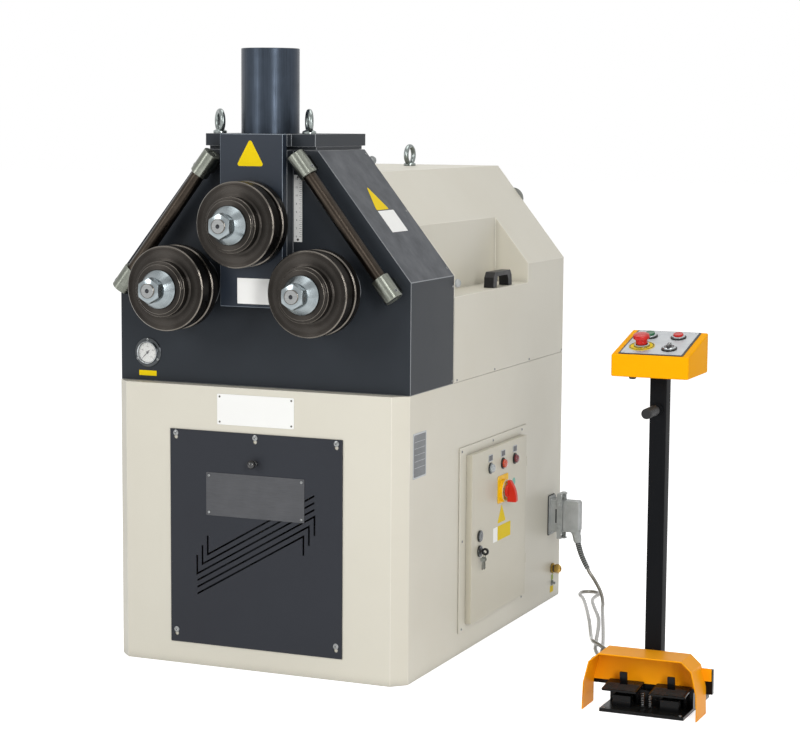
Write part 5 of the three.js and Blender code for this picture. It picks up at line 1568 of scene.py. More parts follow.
@dataclass
class Connector:
    """The plug connector by the back edge, and the brass gland and ground stud under it."""

    y: float = 1086
    z: float = 250

    def housing(self) -> None:
        """The wall housing with its gasket and box."""
        form = Form()
        y, z = self.y, self.z
        form.plate((y - 27, y + 27, z - 58, z + 58), 5, X, 400.2, 402.2, 1)
        form.plate((y - 24.5, y + 24.5, z - 55.5, z + 55.5), 4, X, 402.0, 406.2)
        form.plate((y - 19.8, y + 19.8, z - 46.5, z + 46.5), 4, X, 406.0, 442.6)
        form.plate((y - 21, y + 21, z - 48, z + 48), 4, X, 406.0, 412.0)
        for side in (-1, 1):
            # Dark strips on the box's sides paint the shade in its slots
            form.block((421, y + side * 19.6 - 0.7, z - 20), (425, y + side * 19.6 + 0.7, z + 20), 2)
            for end in (-1, 1):
                screw(form, (406.2, y + side * 20.5, z + end * 50.5), RIGHT, 2.8, 3, 2)
        form.piece(
            "connector_housing", (GREY_CAST, RUBBER, PRINT, BRIGHT_STEEL), "machine", "grey_metal",
            "connector_base", bevel=0.8
        )

    def hood(self) -> None:
        """The cable hood with its ribs, gland nut and bend relief."""
        y, z = self.y, self.z
        form = Form()
        half = [(443.4, 44.8), (484, 44.8), (488.8, 40)]
        outline = [*((x, z - dz) for x, dz in half), *((x, z + dz) for x, dz in reversed(half))]
        form.prism(rounded(outline, 2), Y, y - 18.4, y + 18.4)
        form.plate((443.4, 449, z - 45, z + 45), 2, Y, y - 19, y + 19)
        for k in range(6):
            x = 454 + 5.2 * k
            form.plate((x, x + 2.4, z - 34, z + 34), 1, Y, y - 19, y + 19)
        for end in (-1, 1):
            for side in (-1, 1):
                at = (433, y + side * 23.4, z + end * 32)
                form.lathe([(5.6, 0), (5.6, side * 1.6), (4.4, side * 2.2), (0, side * 2.2)], at, Y, 28, 1)
        form.piece(
            "connector_cable_hood", (HOOD_PLASTIC, GREY_CAST), "machine", "grey_metal", "connector_hood",
            bevel=0.9
        )

        top, tip, end = Vector((477, y, z - 44)), Vector((484, y, z - 77)), Vector((514.5, y, z - 149))
        gland = Form()
        down = (tip - top).normalized()
        gland.lathe([(14.8, 0), (14.4, 1.6), (12.4, 8), (12.0, 10.5)], top, down, 40)
        gland.hexagon(top + down * 10, down, 21.4, 9)
        gland.lathe([(10.6, 18), (11.4, 19.4), (11.4, 26), (9.8, 31), (8.4, 33.5), (0, 33.5)], top, down, 40)
        u, v = directions(down)[1:]
        for c, s in circle(12):
            spot = top + down * 22.6 + (u * c + v * s) * 11.1
            gland.tube([spot - down * 3.4, spot + down * 3.4], 0.9, 8)
        gland.piece("cable_gland", (HOOD_PLASTIC,), "machine", "grey_metal", bevel=0.4)

        relief = Form()
        rings, steps, sides = 13, 52, 24
        spots = [k / steps for k in range(steps + 1)]
        path = [tip.lerp(end, t) - RIGHT * 3.5 * sin(pi * t) for t in spots]
        ridges = [1.2 if k * rings / steps % 1 >= 0.5 else 0.0 for k in range(steps + 1)]
        relief.tube(path, [7.6 - 1.4 * t + ridge for t, ridge in zip(spots, ridges)], sides)
        # The grooves between the ridges take the dark cast finish, painted shade between the ribs
        for number, face in enumerate(relief.bm.faces):
            face.material_index = int(number // sides * rings / steps % 1 < 0.5)
        relief.piece("cable_bend_relief", (DARK_GREY, CAST_IRON), "machine", "grey_metal")

    def levers(self) -> None:
        """The two locking levers, each on the housing's pins."""
        y = self.y
        for word, pivot, end in (("lower", 218.0, -1), ("upper", 282.0, 1)):
            form = Form()
            for side in (-1, 1):
                near = y + side * 20.3
                low, high = sorted((near, near + side * 3))
                bows = [radians(degrees) for degrees in range(200, 341, 14)]
                bow = [(433 + 8 * cos(a), pivot + end * 8 * sin(a)) for a in bows]
                ends = [(433 - 6.5, pivot + end * 33), (433 + 6.5, pivot + end * 33)]
                form.prism([ends[0], *bow, ends[1]], Y, low, high)
                boss = [(9, side * 2.4), (9, side * 3.6), (7.5, side * 4.4), (0, side * 4.4)]
                form.lathe(boss, (433, near, pivot), Y, 32)
            for edges, radius, tip in (
                ((427, 439, y - 23.2, y + 23.2), 1.5, 33.8), ((438, 448, y - 9, y + 9), 2, 34)
            ):
                low, high = sorted((pivot + end * 30.6, pivot + end * tip))
                form.plate(edges, radius, Z, low, high)
            form.piece(
                f"locking_lever_{word}_arm", (GREY_CAST,), f"lever_{word}", "bright_steel",
                f"locking_lever_{word}", origin=(433, y, pivot), bevel=0.6
            )

    def wall_fittings(self) -> None:
        """The brass supply gland and the ground stud with its tag."""
        form = Form()
        at = (400.2, 1102.0, 89.0)
        form.hexagon(at, X, 27, 7)
        form.lathe([(11, 7), (11, 9.4), (12.5, 10.6), (12.5, 12.4), (10.4, 13.4)], at, X, 40, 0, {0: 1})
        form.hexagon((413.4, 1102.0, 89.0), X, 24, 10)
        form.lathe([(10.5, 23), (9.8, 26), (7, 27.5), (6.4, 27.5), (6.4, 24), (0, 24)], at, X, 40)
        form.piece("supply_gland", (BRASS, CAST_IRON), "machine", "bright_steel", origin=at)
        stud = Form()
        stud.hexagon((400.2, 1104, 46), X, 13, 5)
        stud.lathe([(9, 0), (9, 1.2), (0, 1.2)], (400.1, 1104, 46), X, 28)
        stud.lathe([(3.9, 5), (3.9, 11), (3.2, 12), (0, 12)], (400.2, 1104, 46), X, 24)
        stud.plate((1089, 1116, 19, 38), 2, X, 400.0, 400.5, 1)
        stud.plate((1098, 1114, 54, 70), 1.5, X, 400.0, 400.5, 2)
        stud.piece("ground_stud", (BRIGHT_STEEL, YELLOW_LABEL, EARTH_LABEL), "machine", "bright_steel")

    def build(self) -> None:
        """Builds the connector and what is under it."""
        self.housing()
        self.hood()
        self.levers()
        self.wall_fittings()
        log.info("connector")


# Head


@dataclass
class Head:
    """The head, its cap, cylinder, ram, guide bars, lifting eyes and rule."""

    bar_top: Pair = (112, 1290)
    bar_bottom: Pair = (375, 949)
    bar_y: float = -8
    eyes: tuple[tuple[str, float, float, float, float], ...] = (
        ("front_left", -122, 50, 1339, 43), ("front_right", 122, 50, 1339, 34), ("rear", 0, 972, 1244, -2)
    )

    def shell(self) -> None:
        """Dresses the head's plates, the cap, the ram and the hidden drives."""
        dress("head_shell", (ANTHRACITE, ANTHRACITE_HIGHLIGHT), 1.8)
        dress("cap_plate", (ANTHRACITE, ANTHRACITE_HIGHLIGHT), 1.2)
        dress("ram_block", (RAM_PAINT, RAM_HIGHLIGHT), 1.2)
        dress("piston_rod", (CHROME,), 0.6)
        dress("top_drive", (CAST_IRON,), 2)
        dress("lower_drive", (CAST_IRON,), 2)

    def cylinder(self) -> None:
        """The cylinder's tube over the cap, open at its top."""
        form = Form()
        profile = [
            (71.9, 0.2), (71.9, 206.2), (70.9, 207.6), (69.1, 208.0), (61.7, 208.0), (60.2, 206.8),
            (60.0, 205.5), (60.0, 0.2)
        ]
        form.lathe(profile, (0, 84, 1339.1), Z, 144, 0, {2: 1, 3: 1, 4: 1, 6: 1}, True)
        form.piece(
            "cylinder_barrel", (TUBE_PAINT, SHAFT_STEEL), "machine", "anthracite_paint", "cylinder_tube",
            origin=(0, 84, 1339.1)
        )

    def guide_bars(self) -> None:
        """The two sloped bars and their four sockets, each with a set screw."""
        sides = (
            ("left", -1, BAR_STEEL_LEFT, SOCKET_STEEL_LEFT), ("right", 1, BAR_STEEL_RIGHT, SOCKET_STEEL_RIGHT)
        )
        profile = [(0, 0), (8, 0), (8, 2), (9, 2.2), (10.5, 0), (22.3, 0), (23.5, 1.2)]
        profile += [(23.5, 61.6), (22.1, 63), (18.2, 63), (17.4, 62), (17.4, 7.3), (0, 7.3)]
        for word, side, bar_steel, socket_steel in sides:
            top = Vector((side * self.bar_top[0], self.bar_y, self.bar_top[1]))
            bottom = Vector((side * self.bar_bottom[0], self.bar_y, self.bar_bottom[1]))
            run = (bottom - top).normalized()
            length = (bottom - top).length
            bar = Form()
            half = [(0, 7.4), (16, 7.4), (17, 8.4)]
            bar.lathe([*half, *((r, length - along) for r, along in reversed(half))], top, run, 64)
            bar.piece(f"guide_bar_{word}_round", (bar_steel,), "machine", "bar_steel", f"guide_bar_{word}")
            for end, start, way in (("upper", top, run), ("lower", bottom, -run)):
                form = Form()
                form.lathe(profile, start, way, 64, 0, {1: 1, 2: 1})
                across = way.cross(FRONT).normalized()
                foot = start + way * 31.5
                corners = [
                    foot + way * a * 20 + across * b * 13 + Vector((0, h, 0)) for h in (16.0, 43.7)
                    for a, b in ((-1, -1), (1, -1), (1, 1), (-1, 1))
                ]
                form.hexahedron(corners)
                outward = RIGHT * side - way * way.dot(RIGHT * side)
                lock = (outward.normalized() * 0.95 + FRONT * 0.3).normalized()
                if end == "lower":
                    lock = Vector((0.2 * side, -0.35, 0.9)).normalized()
                    lock = (lock - way * lock.dot(way)).normalized()
                spot = start + way * (50 if end == "upper" else 14) + lock * 22.6
                form.lathe(
                    [(4, 0), (4, 1.8), (2.2, 1.8), (2.2, 0.9), (0, 0.9)], spot, lock, 20, 2, {2: 1, 3: 1}
                )
                form.piece(
                    f"bar_socket_{end}_{word}_turned", (socket_steel, PRINT, BRIGHT_STEEL), "machine",
                    "bright_steel", f"bar_socket_{end}_{word}"
                )

    def lifting_eyes(self) -> None:
        """Three forged lifting eyes."""
        height, ring, wire, points = 30.5, 24.4, 6.3, 48
        seat = [
            (0, 0.3), (16, 0.3), (17, 1.3), (17, 5.6), (15.6, 7.4), (11.5, 9.0), (8.4, 10.8), (6, 11.8),
            (0, 11.8)
        ]
        for word, x, y, z, turn in self.eyes:
            form = Form()
            with form.within(Matrix.Translation((x, y, z)) @ Matrix.Rotation(radians(turn), 4, "Z")):
                loop = [(0, ring * c, height + ring * s) for c, s in circle(points)]
                form.tube(loop, [wire + 0.7 * abs(c) for c, _ in circle(points)], 20, 0, True)
                form.lathe(seat, (0, 0, 0), Z, points)
            for corner in form.bm.verts:
                corner.co.z = max(corner.co.z, z + 0.3)
            form.piece(
                f"lifting_eye_{word}", (ZINC_Z,), "machine", "zinc", f"eye_bolt_{word}",
                origin=(x, y, z + height)
            )

    def rule(self) -> None:
        """The white rule beside the ram, with plain ticks and figures."""
        face = 36.0
        form = Form()
        form.plate((88, 110, 1077, 1240), 1, Y, face - 1.4, face - 0.1)
        for k in range(0, 29):
            z = 1090 + 5 * k
            reach = 7 if k % 2 == 0 else 4.5
            form.block((109.4 - reach, face - 1.5, z - 0.35), (109.4, face - 1.4, z + 0.35), 1)
        for z in (1082.5, 1234.5):
            screw(form, (99, face - 1.4, z), FRONT, 3.0, 2, 1)
        form.piece("ram_rule", (WHITE_PLATE, PRINT, SHAFT_STEEL), slot="grey_metal")
        for number in range(0, 15, 2):
            spot = (95.2, face - 1.55, 1090 + 10 * number)
            lettering(str(number), 4.6, spot, RIGHT, "machine", "rule_figure_%d" % number)

    def right_slope(self) -> tuple[Vector, Vector, Vector]:
        """The head's right slope.

        Returns:
            Its lower corner, the way up it and the way out of it.
        """
        rise = Vector((-248, 0, 313)).normalized()
        return Vector((SIDE_WALL, 0, 987)), rise, Vector((313, 0, 248)).normalized()

    def labels(self) -> None:
        """Blank labels on the ram and the head's right slope."""
        form = Form()
        front = -22.0
        form.prism(rounded([(-40, 1261), (35, 1261), (-2.5, 1328)], 5), Y, front - 0.4, front)
        form.plate((-38, 52, 925, 988), 2, Y, front - 0.4, front, 1)
        form.piece("ram_labels_blank", (YELLOW_LABEL, WHITE_PLATE), "ram")
        slope = Form()
        corner, along, out = self.right_slope()
        basis = Matrix((along, -FRONT, out)).transposed().to_4x4()
        with slope.within(Matrix.Translation(corner) @ basis):
            slope.prism(rounded([(214, 128), (214, 206), (286, 167)], 4), Z, 0.1, 0.5)
            slope.plate((146, 211, 132, 228), 2, Z, 0.1, 0.5, 1)
        slope.piece("slope_labels_blank", (YELLOW_LABEL, WHITE_PLATE))
        tag = Form()
        tag.plate((-348, -298, 726, 739), 1, Y, 35.4, 35.9)
        tag.piece("gauge_label_blank", (YELLOW_LABEL,))

    def edge_screws(self) -> None:
        """The small screws along the right slope and side, by the head's back edge."""
        form = Form()
        corner, along, out = self.right_slope()
        for up in (25, 203, 384):
            screw(form, corner + along * up - FRONT * 302, out, 3.4, 0, 1)
        for z in (961, 721):
            screw(form, (SIDE_WALL, 306, z), RIGHT, 3.4, 0, 1)
        form.piece("head_edge_screws", (BRIGHT_STEEL, PRINT), slot="bright_steel")

    def build(self) -> None:
        """Builds and dresses the head."""
        self.shell()
        self.cylinder()
        self.guide_bars()
        self.lifting_eyes()
        self.rule()
        self.labels()
        self.edge_screws()
        log.info("head")


@dataclass
class Roll:
    """One roll: two discs on their shaft, held by a cone washer and a nut."""

    prefix: str
    x: float
    z: float
    collar_end: float
    shaft_end: float
    radius: float = 104.5
    hub: float = 71.5
    nose: float = 68.0
    nose_step: float = 61.0
    bore: float = 30.5

    def build(self) -> None:
        """Makes the roll's five pieces."""
        at = (self.x, 0.0, self.z)
        body = self.prefix
        # The discs' thin chamfers take the lighter rim steel, a painted highlight along their edges
        finishes = (ROLL_STEEL, ROLL_RIM_HIGHLIGHT)
        back = Form()
        profile = [
            (self.bore, -28.2), (101.8, -28.2), (self.radius, -30.8), (self.radius, -54.4), (101.8, -57.0),
            (self.hub, -57.0), (self.hub, -73.6), (self.bore, -73.6)
        ]
        back.lathe(profile, at, Y, 144, 0, {1: 1, 3: 1}, True)
        back.piece(f"{body}_disc_back", finishes, body, "turned_steel", f"{body}_back_disc", at, 0.5)

        front = Form()
        profile = [
            (self.bore, -74.1), (101.8, -74.1), (self.radius, -76.7), (self.radius, -107.4), (101.8, -110.0),
            (97.2, -110.0), (96.8, -109.4), (72.5, -109.4), (70.5, -110.6), (self.nose, -111.6),
            (self.nose, -132.8), (67.0, -134.0), (self.nose_step + 1.4, -134.0), (self.nose_step, -135.2),
            (self.nose_step, -139.8), (59.8, -141.0), (48.6, -141.0), (48.0, -140.4), (self.bore, -140.4)
        ]
        front.lathe(profile, at, Y, 144, 0, {1: 1, 3: 1, 10: 1, 14: 1}, True)
        front.piece(f"{body}_disc_front", finishes, body, "turned_steel", f"{body}_front_disc", at, 0.4)

        cone = Form()
        profile = [
            (18.6, -141.4), (46.2, -141.4), (47.0, -142.2), (47.0, -144.4), (46.0, -145.8), (30.4, -165.6),
            (29.6, -166.2), (18.6, -166.2)
        ]
        cone.lathe(profile, at, Y, 144, 0, None, True)
        cone.piece(f"{body}_cone", (ZINC,), body, "zinc", f"{body}_cone_washer", at)

        nut = Form()
        nut.hexagon((self.x, -192.5, self.z), Y, 54.8, 25.8, 0, 96)
        nut.piece(f"{body}_hex_nut", (ZINC,), body, "zinc", f"{body}_nut", at)

        shaft = Form()
        profile = [(0, -193.6), (2.6, -193.6), (5.4, -197.6), (15.6, -197.6), (16.4, -196.8)]
        y = -196.6
        while y < -168:
            profile += [(17.9, y), (16.9, y + 0.75)]
            y += 1.5
        profile += [
            (17.9, -166), (17.9, -131.2), (29.8, -131.2), (29.8, -27.9), (45.8, -27.9),
            (45.8, self.collar_end), (29.8, self.collar_end), (29.8, self.shaft_end), (0, self.shaft_end)
        ]
        shaft.lathe(profile, at, Y, 64, 0, {0: 1, 1: 1, 2: 2, 3: 2})
        shaft.piece(
            f"{body}_threaded_shaft", (SHAFT_STEEL, CAST_IRON, BRIGHT_STEEL), body, "bright_steel",
            f"{body}_shaft", at
        )
        log.info("%s", body)


@dataclass
class Gauge:
    """The pressure gauge in the head's face."""

    x: float = -322.0
    z: float = 785.0
    zero: float = 225.0
    sweep: float = 270.0
    figures: tuple[str, ...] = ("0", "100", "200", "300", "400")

    def build(self) -> None:
        """Makes the case, dial, figures, needle and cover."""
        at = (self.x, 0.0, self.z)
        case = Form()
        profile = [
            (0, 33.0), (24.8, 33.0), (25.0, 34.0), (25.8, 34.0), (25.9, 28.6), (26.8, 27.7), (27.8, 27.8),
            (28.8, 29.4), (29.0, 33.6), (36.4, 33.6), (37.3, 34.4), (37.3, 35.7), (29.9, 35.7), (29.9, 81),
            (0, 81)
        ]
        case.lathe(profile, at, Y, 96, 0, {0: 1, 1: 3, 2: 3, 8: 4, 9: 4, 10: 4})
        for turn in (90, 210, 330):
            c, s = cos(radians(turn)), sin(radians(turn))
            screw(case, (self.x + 33 * c, 33.6, self.z + 33 * s), FRONT, 3.2, 2, 3)
        case.piece(
            "gauge_case_turned", (CHROME, WHITE_PLATE, BRIGHT_STEEL, PRINT, DARK_CHROME), "machine",
            "black_plastic", "gauge_case", at
        )
        ticks = Form()
        for k in range(41):
            turn = radians(self.zero - self.sweep * k / 40)
            long = 3.8 if k % 5 == 0 else 2.0
            way = Vector((cos(turn), 0, sin(turn)))
            side = Vector((-sin(turn), 0, cos(turn))) * (0.4 if k % 5 == 0 else 0.22)
            middle = Vector((self.x, 32.9, self.z))
            a, b = middle + way * 23.6, middle + way * (23.6 - long)
            lift = FRONT * 0.1
            corners = [a - side, a + side, b + side, b - side]
            ticks.hexahedron([*corners, *(c + lift for c in corners)])
        ticks.piece("gauge_ticks", (PRINT,))
        for k, figure in enumerate(self.figures):
            turn = radians(self.zero - self.sweep * k / (len(self.figures) - 1))
            spot = (self.x + 15.4 * cos(turn), 32.75, self.z + 15.4 * sin(turn))
            lettering(figure, 3.0, spot, RIGHT, "machine", f"gauge_figure_{figure}")
        needle = Form()
        down = Matrix.Translation((self.x, 0, self.z)) @ Matrix.Rotation(radians(90 - self.zero), 4, "Y")
        with needle.within(down):
            blade = [(-1.0, -8), (1.0, -8), (0.9, 8), (0.25, 21), (-0.25, 21), (-0.9, 8)]
            needle.prism(blade, Y, 31.5, 32.2)
            needle.lathe([(3.4, 32.3), (3.4, 31.2), (2.6, 30.6), (0, 30.6)], (0, 0, 0), Y, 28)
        needle.piece("gauge_pointer", (GLOSS_BLACK,), "needle", "black_plastic", "gauge_needle", at)
        cover = Form()
        profile = [
            (25.8, 29.6), (21, 28.8), (13, 28.2), (0, 28.0), (0, 28.8), (13, 29.0), (21, 29.6), (25.8, 30.4)
        ]
        cover.lathe(profile, at, Y, 64, 0, None, True)
        cover.piece("gauge_cover_dome", (GAUGE_COVER,), "machine")
        log.info("gauge")


@dataclass
class RearCover:
    """The cover behind the head, with its recess, bridge handle, breather and bolts."""

    bottom: float = 713.3
    shoulder: float = 986.0
    ridge: Pair = (195.5, 1244.0)

    def handle(self) -> None:
        """The black bridge handle in the recess."""
        form = Form()
        base = 933.3
        outline = [
            (627.3, base), (654.7, base), (656.5, base + 18), (664, base + 29.5), (734, base + 29.5),
            (741.5, base + 18), (743.3, base), (770.7, base), (768, base + 27), (757, base + 41.5),
            (641, base + 41.5), (630, base + 27)
        ]
        form.prism(outline, X, 360.4, 387.6)
        for y in (641, 757):
            form.lathe([(4.6, 0), (4.6, 1.6), (0, 1.6)], (374, y, base + 27.5), Z, 24, 1)
        form.piece(
            "cover_bridge_handle", (BLACK_PLASTIC, PRINT), "machine", "black_plastic", "cover_handle",
            bevel=4, steps=5
        )

    def breather(self) -> None:
        """The breather on the back."""
        at = (240, 1168.3, 1150)
        form = Form()
        form.lathe(
            [(0, 0), (32, 0), (32, 6), (30.6, 7.6), (25, 8.0), (25, 25), (22, 27.6), (0, 27.6)], at, Y, 72
        )
        for c, s in circle(24):
            x, z = at[0] + 24.9 * c, at[2] + 24.9 * s
            form.tube([(x, 1178, z), (x, 1192, z)], 1.2, 8, 1)
        for turn in (45, 135, 225, 315):
            c, s = cos(radians(turn)), sin(radians(turn))
            screw(form, (at[0] + 28.5 * c, 1175.6, at[2] + 28.5 * s), -FRONT, 2.4, 2, 1)
        form.piece(
            "breather_cap", (DARK_GREY, BLACK_PLASTIC, BRIGHT_STEEL), "machine", "grey_metal",
            "rear_breather", at
        )

    def front_band(self) -> None:
        """A painted highlight: a strip of the lighter edge cream along the cover's front edge, which shows as
        a line behind the head.
        """
        form = Form()
        wide, low, high = SIDE_WALL, self.bottom, self.shoulder
        x, z = self.ridge
        outer = [(wide, low), (wide, high + 0.3), (x + 0.4, z + 0.8)]
        inner = [(wide - 1, low), (wide - 1, high - 0.4), (x - 0.5, z - 1)]
        left = [(-x, z) for x, z in reversed(outer)] + [(-x, z) for x, z in inner]
        form.prism([*outer, *left, *reversed(inner)], Y, 314.5, 318)
        form.piece("cover_front_band", (CREAM_HIGHLIGHT,), slot="cream_paint")

    def seam_screws(self) -> None:
        """The small screws over the cabinet's top edge."""
        form = Form()
        for y in (340, 612, 882, 1156):
            screw(form, (SIDE_WALL, y, 719.5), RIGHT, 3.2, 0, 1)
        form.piece("cover_seam_screws", (BRIGHT_STEEL, PRINT), slot="bright_steel")

    def domed_bolts(self) -> None:
        """The domed bolts: one on the cover's right side, two on the head's back over the ridge."""
        form = Form()
        dome = [(11, 0), (11, 2), (10.4, 5), (8.6, 8), (5.4, 10.2), (2, 11), (0, 11)]
        shank = [(6, 0), (6, 10), *((radius, along + 10) for radius, along in dome)]
        form.lathe(dome, (SIDE_WALL, 331, 967), X, 36)
        for x in (-168, 168):
            form.lathe(shank, (x, 314.2, 1272), Y, 36)
        form.piece("cover_domed_bolts", (GREY_CAST,), slot="bright_steel")

    def build(self) -> None:
        """Builds and dresses the cover."""
        dress("rear_cover", (CREAM, CREAM_HIGHLIGHT), 2.0, 3)
        self.handle()
        self.front_band()
        self.seam_screws()
        self.domed_bolts()
        self.breather()
        log.info("rear cover")


# Pedestal


@dataclass
class Pedestal:
    """The pedestal: foot with guard and pedals, column and clamp."""

    x: float = 1001.0
    y: float = 110.0

    def foot(self) -> None:
        """Dresses the foot, guard and column, and adds springs and screws."""
        dress("pedal_base", (BLACK_PAINT,), 1.2)
        dress("pedal_guard", (ORANGE_PAINT,), 0.9)
        dress("column_tube", (COLUMN_PAINT,), 1.0)
        form = Form()
        for side in (-1, 1):
            x, y, coils, points = self.x + side * 9, self.y - 62, 8, 96
            turns = [2 * pi * coils * k / points for k in range(points + 1)]
            spring = [
                (x + 4.2 * cos(turn), y + 4.2 * sin(turn), 10 + 34 * k / points)
                for k, turn in enumerate(turns)
            ]
            form.tube(spring, 0.75, 8)
        for dx in (-92, 92):
            screw(form, (self.x + dx, self.y - 96, 8), UP, 4, 0, 1)
        form.piece("pedal_springs", (BRIGHT_STEEL, PRINT), "machine", "bright_steel")

    def pedal(self, word: str, offset: float) -> None:
        """One pedal: ribbed tread, upright tab and the block at its axle.

        Args:
            word: left or right.
            offset: of its middle from the column's, on x.
        """
        axle = Vector((self.x + offset, self.y - 30, 52))
        form = Form()
        with form.within(Matrix.Translation(axle) @ Matrix.Rotation(radians(7), 4, "X")):
            form.plate((-42.8, 42.8, -65.8, 3.8), 4, Z, 4.1, 9.0)
            for k in range(8):
                y = -62 + 5.2 * k
                form.plate((-39, 39, y, y + 2.4), 1, Z, 8.9, 10.0, 1)
            form.plate((-9, 9, 8, 39.6), 2, Y, -27, -22.2)
            form.block((-22, -5.6, -5.6), (22, 5.6, 6))
        form.piece(
            f"pedal_{word}_tread", (BLACK_PAINT, RUBBER), f"{word}_pedal", "black_paint", f"pedal_{word}",
            tuple(axle), 0.8
        )

    def clamp(self) -> None:
        """The clamp's neck and grip."""
        form = Form()
        at = (self.x, self.y, 711)
        profile = [(0, -27.3), (7, -27.3), (7, -43), (9, -43.6), (12.2, -46)]
        for k in range(10):
            y = -47 - 6.2 * k
            profile += [(12.4, y), (12.4, y - 3.6), (11.4, y - 4.4), (11.4, y - 5.4)]
        profile += [(12.4, -109), (12.0, -111.4), (9.6, -113.2), (0, -113.2)]
        form.lathe(profile, at, Y, 48)
        form.piece("clamp_grip", (BLACK_PLASTIC,), "clamp", "black_plastic", "clamp_knob", at)

    def build(self) -> None:
        """Builds and dresses the pedestal."""
        self.foot()
        self.pedal("left", -58)
        self.pedal("right", 58)
        self.clamp()
        log.info("pedestal")


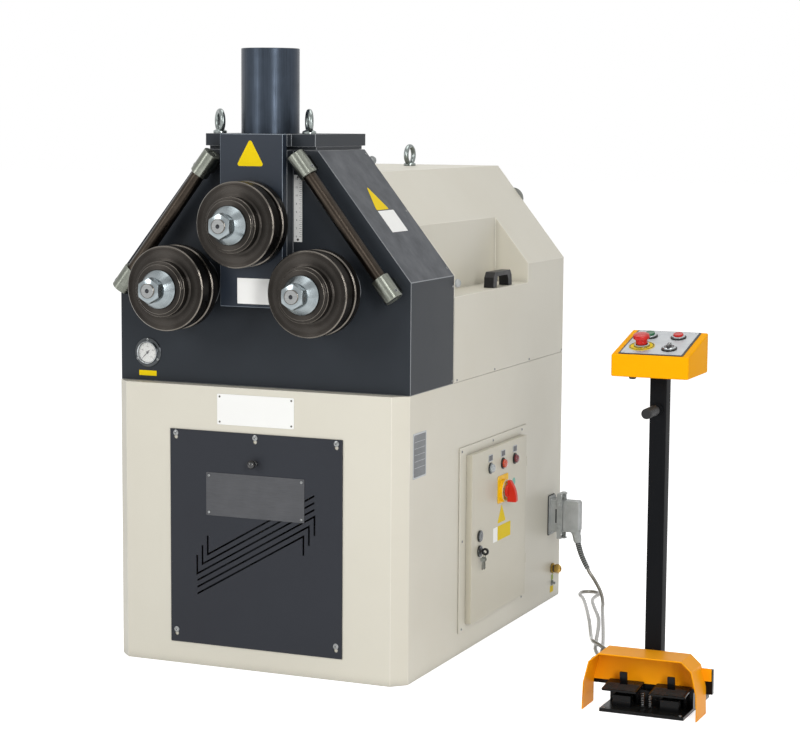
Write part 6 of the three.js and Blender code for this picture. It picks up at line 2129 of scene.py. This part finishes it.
@dataclass
class ControlBox:
    """The control box: its sheet shell on the stem, and what is on its sloped panel."""

    x: float = 1001.0
    y: float = 110.0
    bottom: float = 791.6
    front_height: float = 51.7
    rear_height: float = 94.0
    depth: float = 170.0
    half_width: float = 92.0
    button_left: float = -35.0
    button_right: float = 33.5

    def panel(self) -> Matrix:
        """The sloped panel's place.

        Returns:
            The matrix from its own measures, across, up the slope and out of it, to the machine's.
        """
        slope = atan2(self.rear_height - self.front_height, self.depth)
        turn = Matrix.Rotation(slope, 4, "X")
        return Matrix.Translation((self.x, self.y - 95, self.bottom + self.front_height)) @ turn

    def shell(self) -> None:
        """The folded box and its stem."""
        form = Form()
        low, y0, y1 = self.bottom, self.y - 94.9, self.y + 74.9
        outline = [
            (y0, low + 0.1), (y1, low + 0.1), (y1, low + self.rear_height - 0.2),
            (y0, low + self.front_height - 0.2)
        ]
        half = self.half_width - 0.1
        form.prism(outline, X, self.x - half, self.x + half)
        form.block((self.x - 15.8, self.y - 15.8, 531.8), (self.x + 15.8, self.y + 15.8, low), 1)
        form.piece(
            "control_box_shell", (YELLOW_PAINT, BLACK_PAINT), "control_head", "yellow_paint", "control_box",
            (self.x, self.y, low), 4.0, 5
        )

    def plate(self) -> None:
        """The dark gasket and the silver plate with its corner screws."""
        form = Form()
        with form.within(self.panel()):
            form.plate((-77, 77, 5, 170), 4, Z, 0.0, 0.9, 1)
            form.plate((-72.5, 72.5, 9.5, 165.5), 3, Z, 0.9, 2.0)
            for x in (-66, 66):
                for y in (16, 159):
                    form.lathe([(2.6, 2.0), (2.2, 3.0), (0, 3.2)], (x, y, 0), Z, 20)
        form.piece("control_plate", (SILVER_PLATE, BLACK_PLASTIC), "control_head", "grey_metal", bevel=0.3)

    def ring(self, form: Form, x: float, up: float, finish: int) -> None:
        """A button's bezel.

        Args:
            form: what it is added to.
            x: across the panel.
            up: up its slope.
            finish: number of its finish.
        """
        bezel = [(15.4, 4.6), (15.4, 6.2), (14.2, 7.8), (12.2, 8.4), (12.2, 4.6)]
        form.lathe(bezel, (x, up, 0), Z, 56, finish, None, True)
        seat = [(18.4, 2), (18.4, 4.2), (17.6, 5.0), (12.2, 5.0), (12.2, 2)]
        form.lathe(seat, (x, up, 0), Z, 56, 3, None, True)

    def buttons(self) -> None:
        """The buttons, the emergency stop and the selector, each on its own body."""
        panel = self.panel()
        stop_up, jog_up, pushed_up = 57, 46, 125
        neck = [(0, -16), (10.2, -16), (10.2, 2.4), (11.8, 2.4)]
        fixed = Form()
        with fixed.within(panel):
            for x, up in (
                (self.button_left, pushed_up), (self.button_right, pushed_up), (self.button_right, jog_up)
            ):
                self.ring(fixed, x, up, 0)
            at = (self.button_left, stop_up, 0)
            fixed.lathe([(30, 2), (30, 3.2), (16, 3.2)], at, Z, 72, 1)
            for inner, outer in ((26.4, 28.6), (17, 18.4)):
                fixed.lathe(
                    [(inner, 3.2), (outer, 3.2), (outer, 3.4), (inner, 3.4)], at, Z, 72, 2, None, True
                )
            fixed.lathe([(17.4, 2), (17.4, 7), (16.2, 8.2), (14.6, 8.2), (14.6, 2)], at, Z, 56, 0, None, True)
        fixed.piece(
            "button_bezels", (CHROME, YELLOW_LABEL, PRINT, BLACK_PLASTIC), "control_head", "bright_steel"
        )
        caps = (
            ("start", self.button_left, GREEN_PLASTIC, "green_plastic"),
            ("stop", self.button_right, RED_PLASTIC, "red_plastic")
        )
        for word, x, finish, slot in caps:
            cap = Form()
            with cap.within(panel):
                profile = [*neck, (11.8, 11.4), (10.8, 12.6), (8.6, 12.2), (0, 11.8)]
                cap.lathe(profile, (x, pushed_up, 0), Z, 56)
            origin = tuple(panel @ Vector((x, pushed_up, 0)))
            cap.piece(f"button_cap_{word}", (finish,), f"{word}_push", slot, f"{word}_button", origin)
        stop = Form()
        with stop.within(panel):
            profile = [
                (0, -16), (9.8, -16), (9.8, 9.4), (13.6, 9.8), (13.8, 20), (18.0, 21.2), (19.2, 22.6),
                (19.2, 27.4), (18.2, 30.4), (15.4, 32.2), (9, 32.9), (0, 33.0)
            ]
            stop.lathe(profile, at, Z, 72)
        origin = tuple(panel @ Vector(at))
        stop.piece(
            "emergency_stop_mushroom", (RED_PLASTIC,), "emergency_stop_button", "red_plastic",
            "emergency_stop", origin
        )
        jog = Form()
        with jog.within(panel):
            x = self.button_right
            jog.lathe([*neck, (11.8, 7.6), (11.0, 8.4), (0, 8.4)], (x, jog_up, 0), Z, 56)
            jog.plate((x - 4.2, x + 4.2, 35.4, 56.6), 3, Z, 8.0, 14.8)
            jog.block((x - 0.6, 47, 14.8), (x + 0.6, 55.4, 15.0), 1)
        origin = tuple(panel @ Vector((x, jog_up, 0)))
        jog.piece("jog_knob", (GLOSS_BLACK, WHITE_PLATE), "jog", "black_plastic", "jog_selector", origin)

    def build(self) -> None:
        """Builds the box."""
        self.shell()
        self.plate()
        self.buttons()
        gland = Form()
        spot = (945.0, 70.0, self.bottom)
        gland.lathe([(9, 0), (9, -6), (7, -10), (0, -10)], spot, Z, 32)
        gland.piece("box_cable_plug", (BLACK_PLASTIC,), "control_head", "black_plastic")
        log.info("control box")


def main() -> None:
    """Builds the object piece by piece."""
    logging.basicConfig(level=logging.INFO, format="%(name)s: %(message)s")
    Studio().build()
    ControlCable().build()
    Cabinet().build()
    ElectricalDoor().build()
    Connector().build()
    Head().build()
    Roll("left_roll", -192, 962, 9.6, 374.2).build()
    Roll("right_roll", 192, 962, 9.6, 374.2).build()
    Roll("top_roll", 0, 1122, -22.5, 176.6).build()
    Gauge().build()
    RearCover().build()
    Pedestal().build()
    ControlBox().build()


if __name__ == "__main__":
    main()
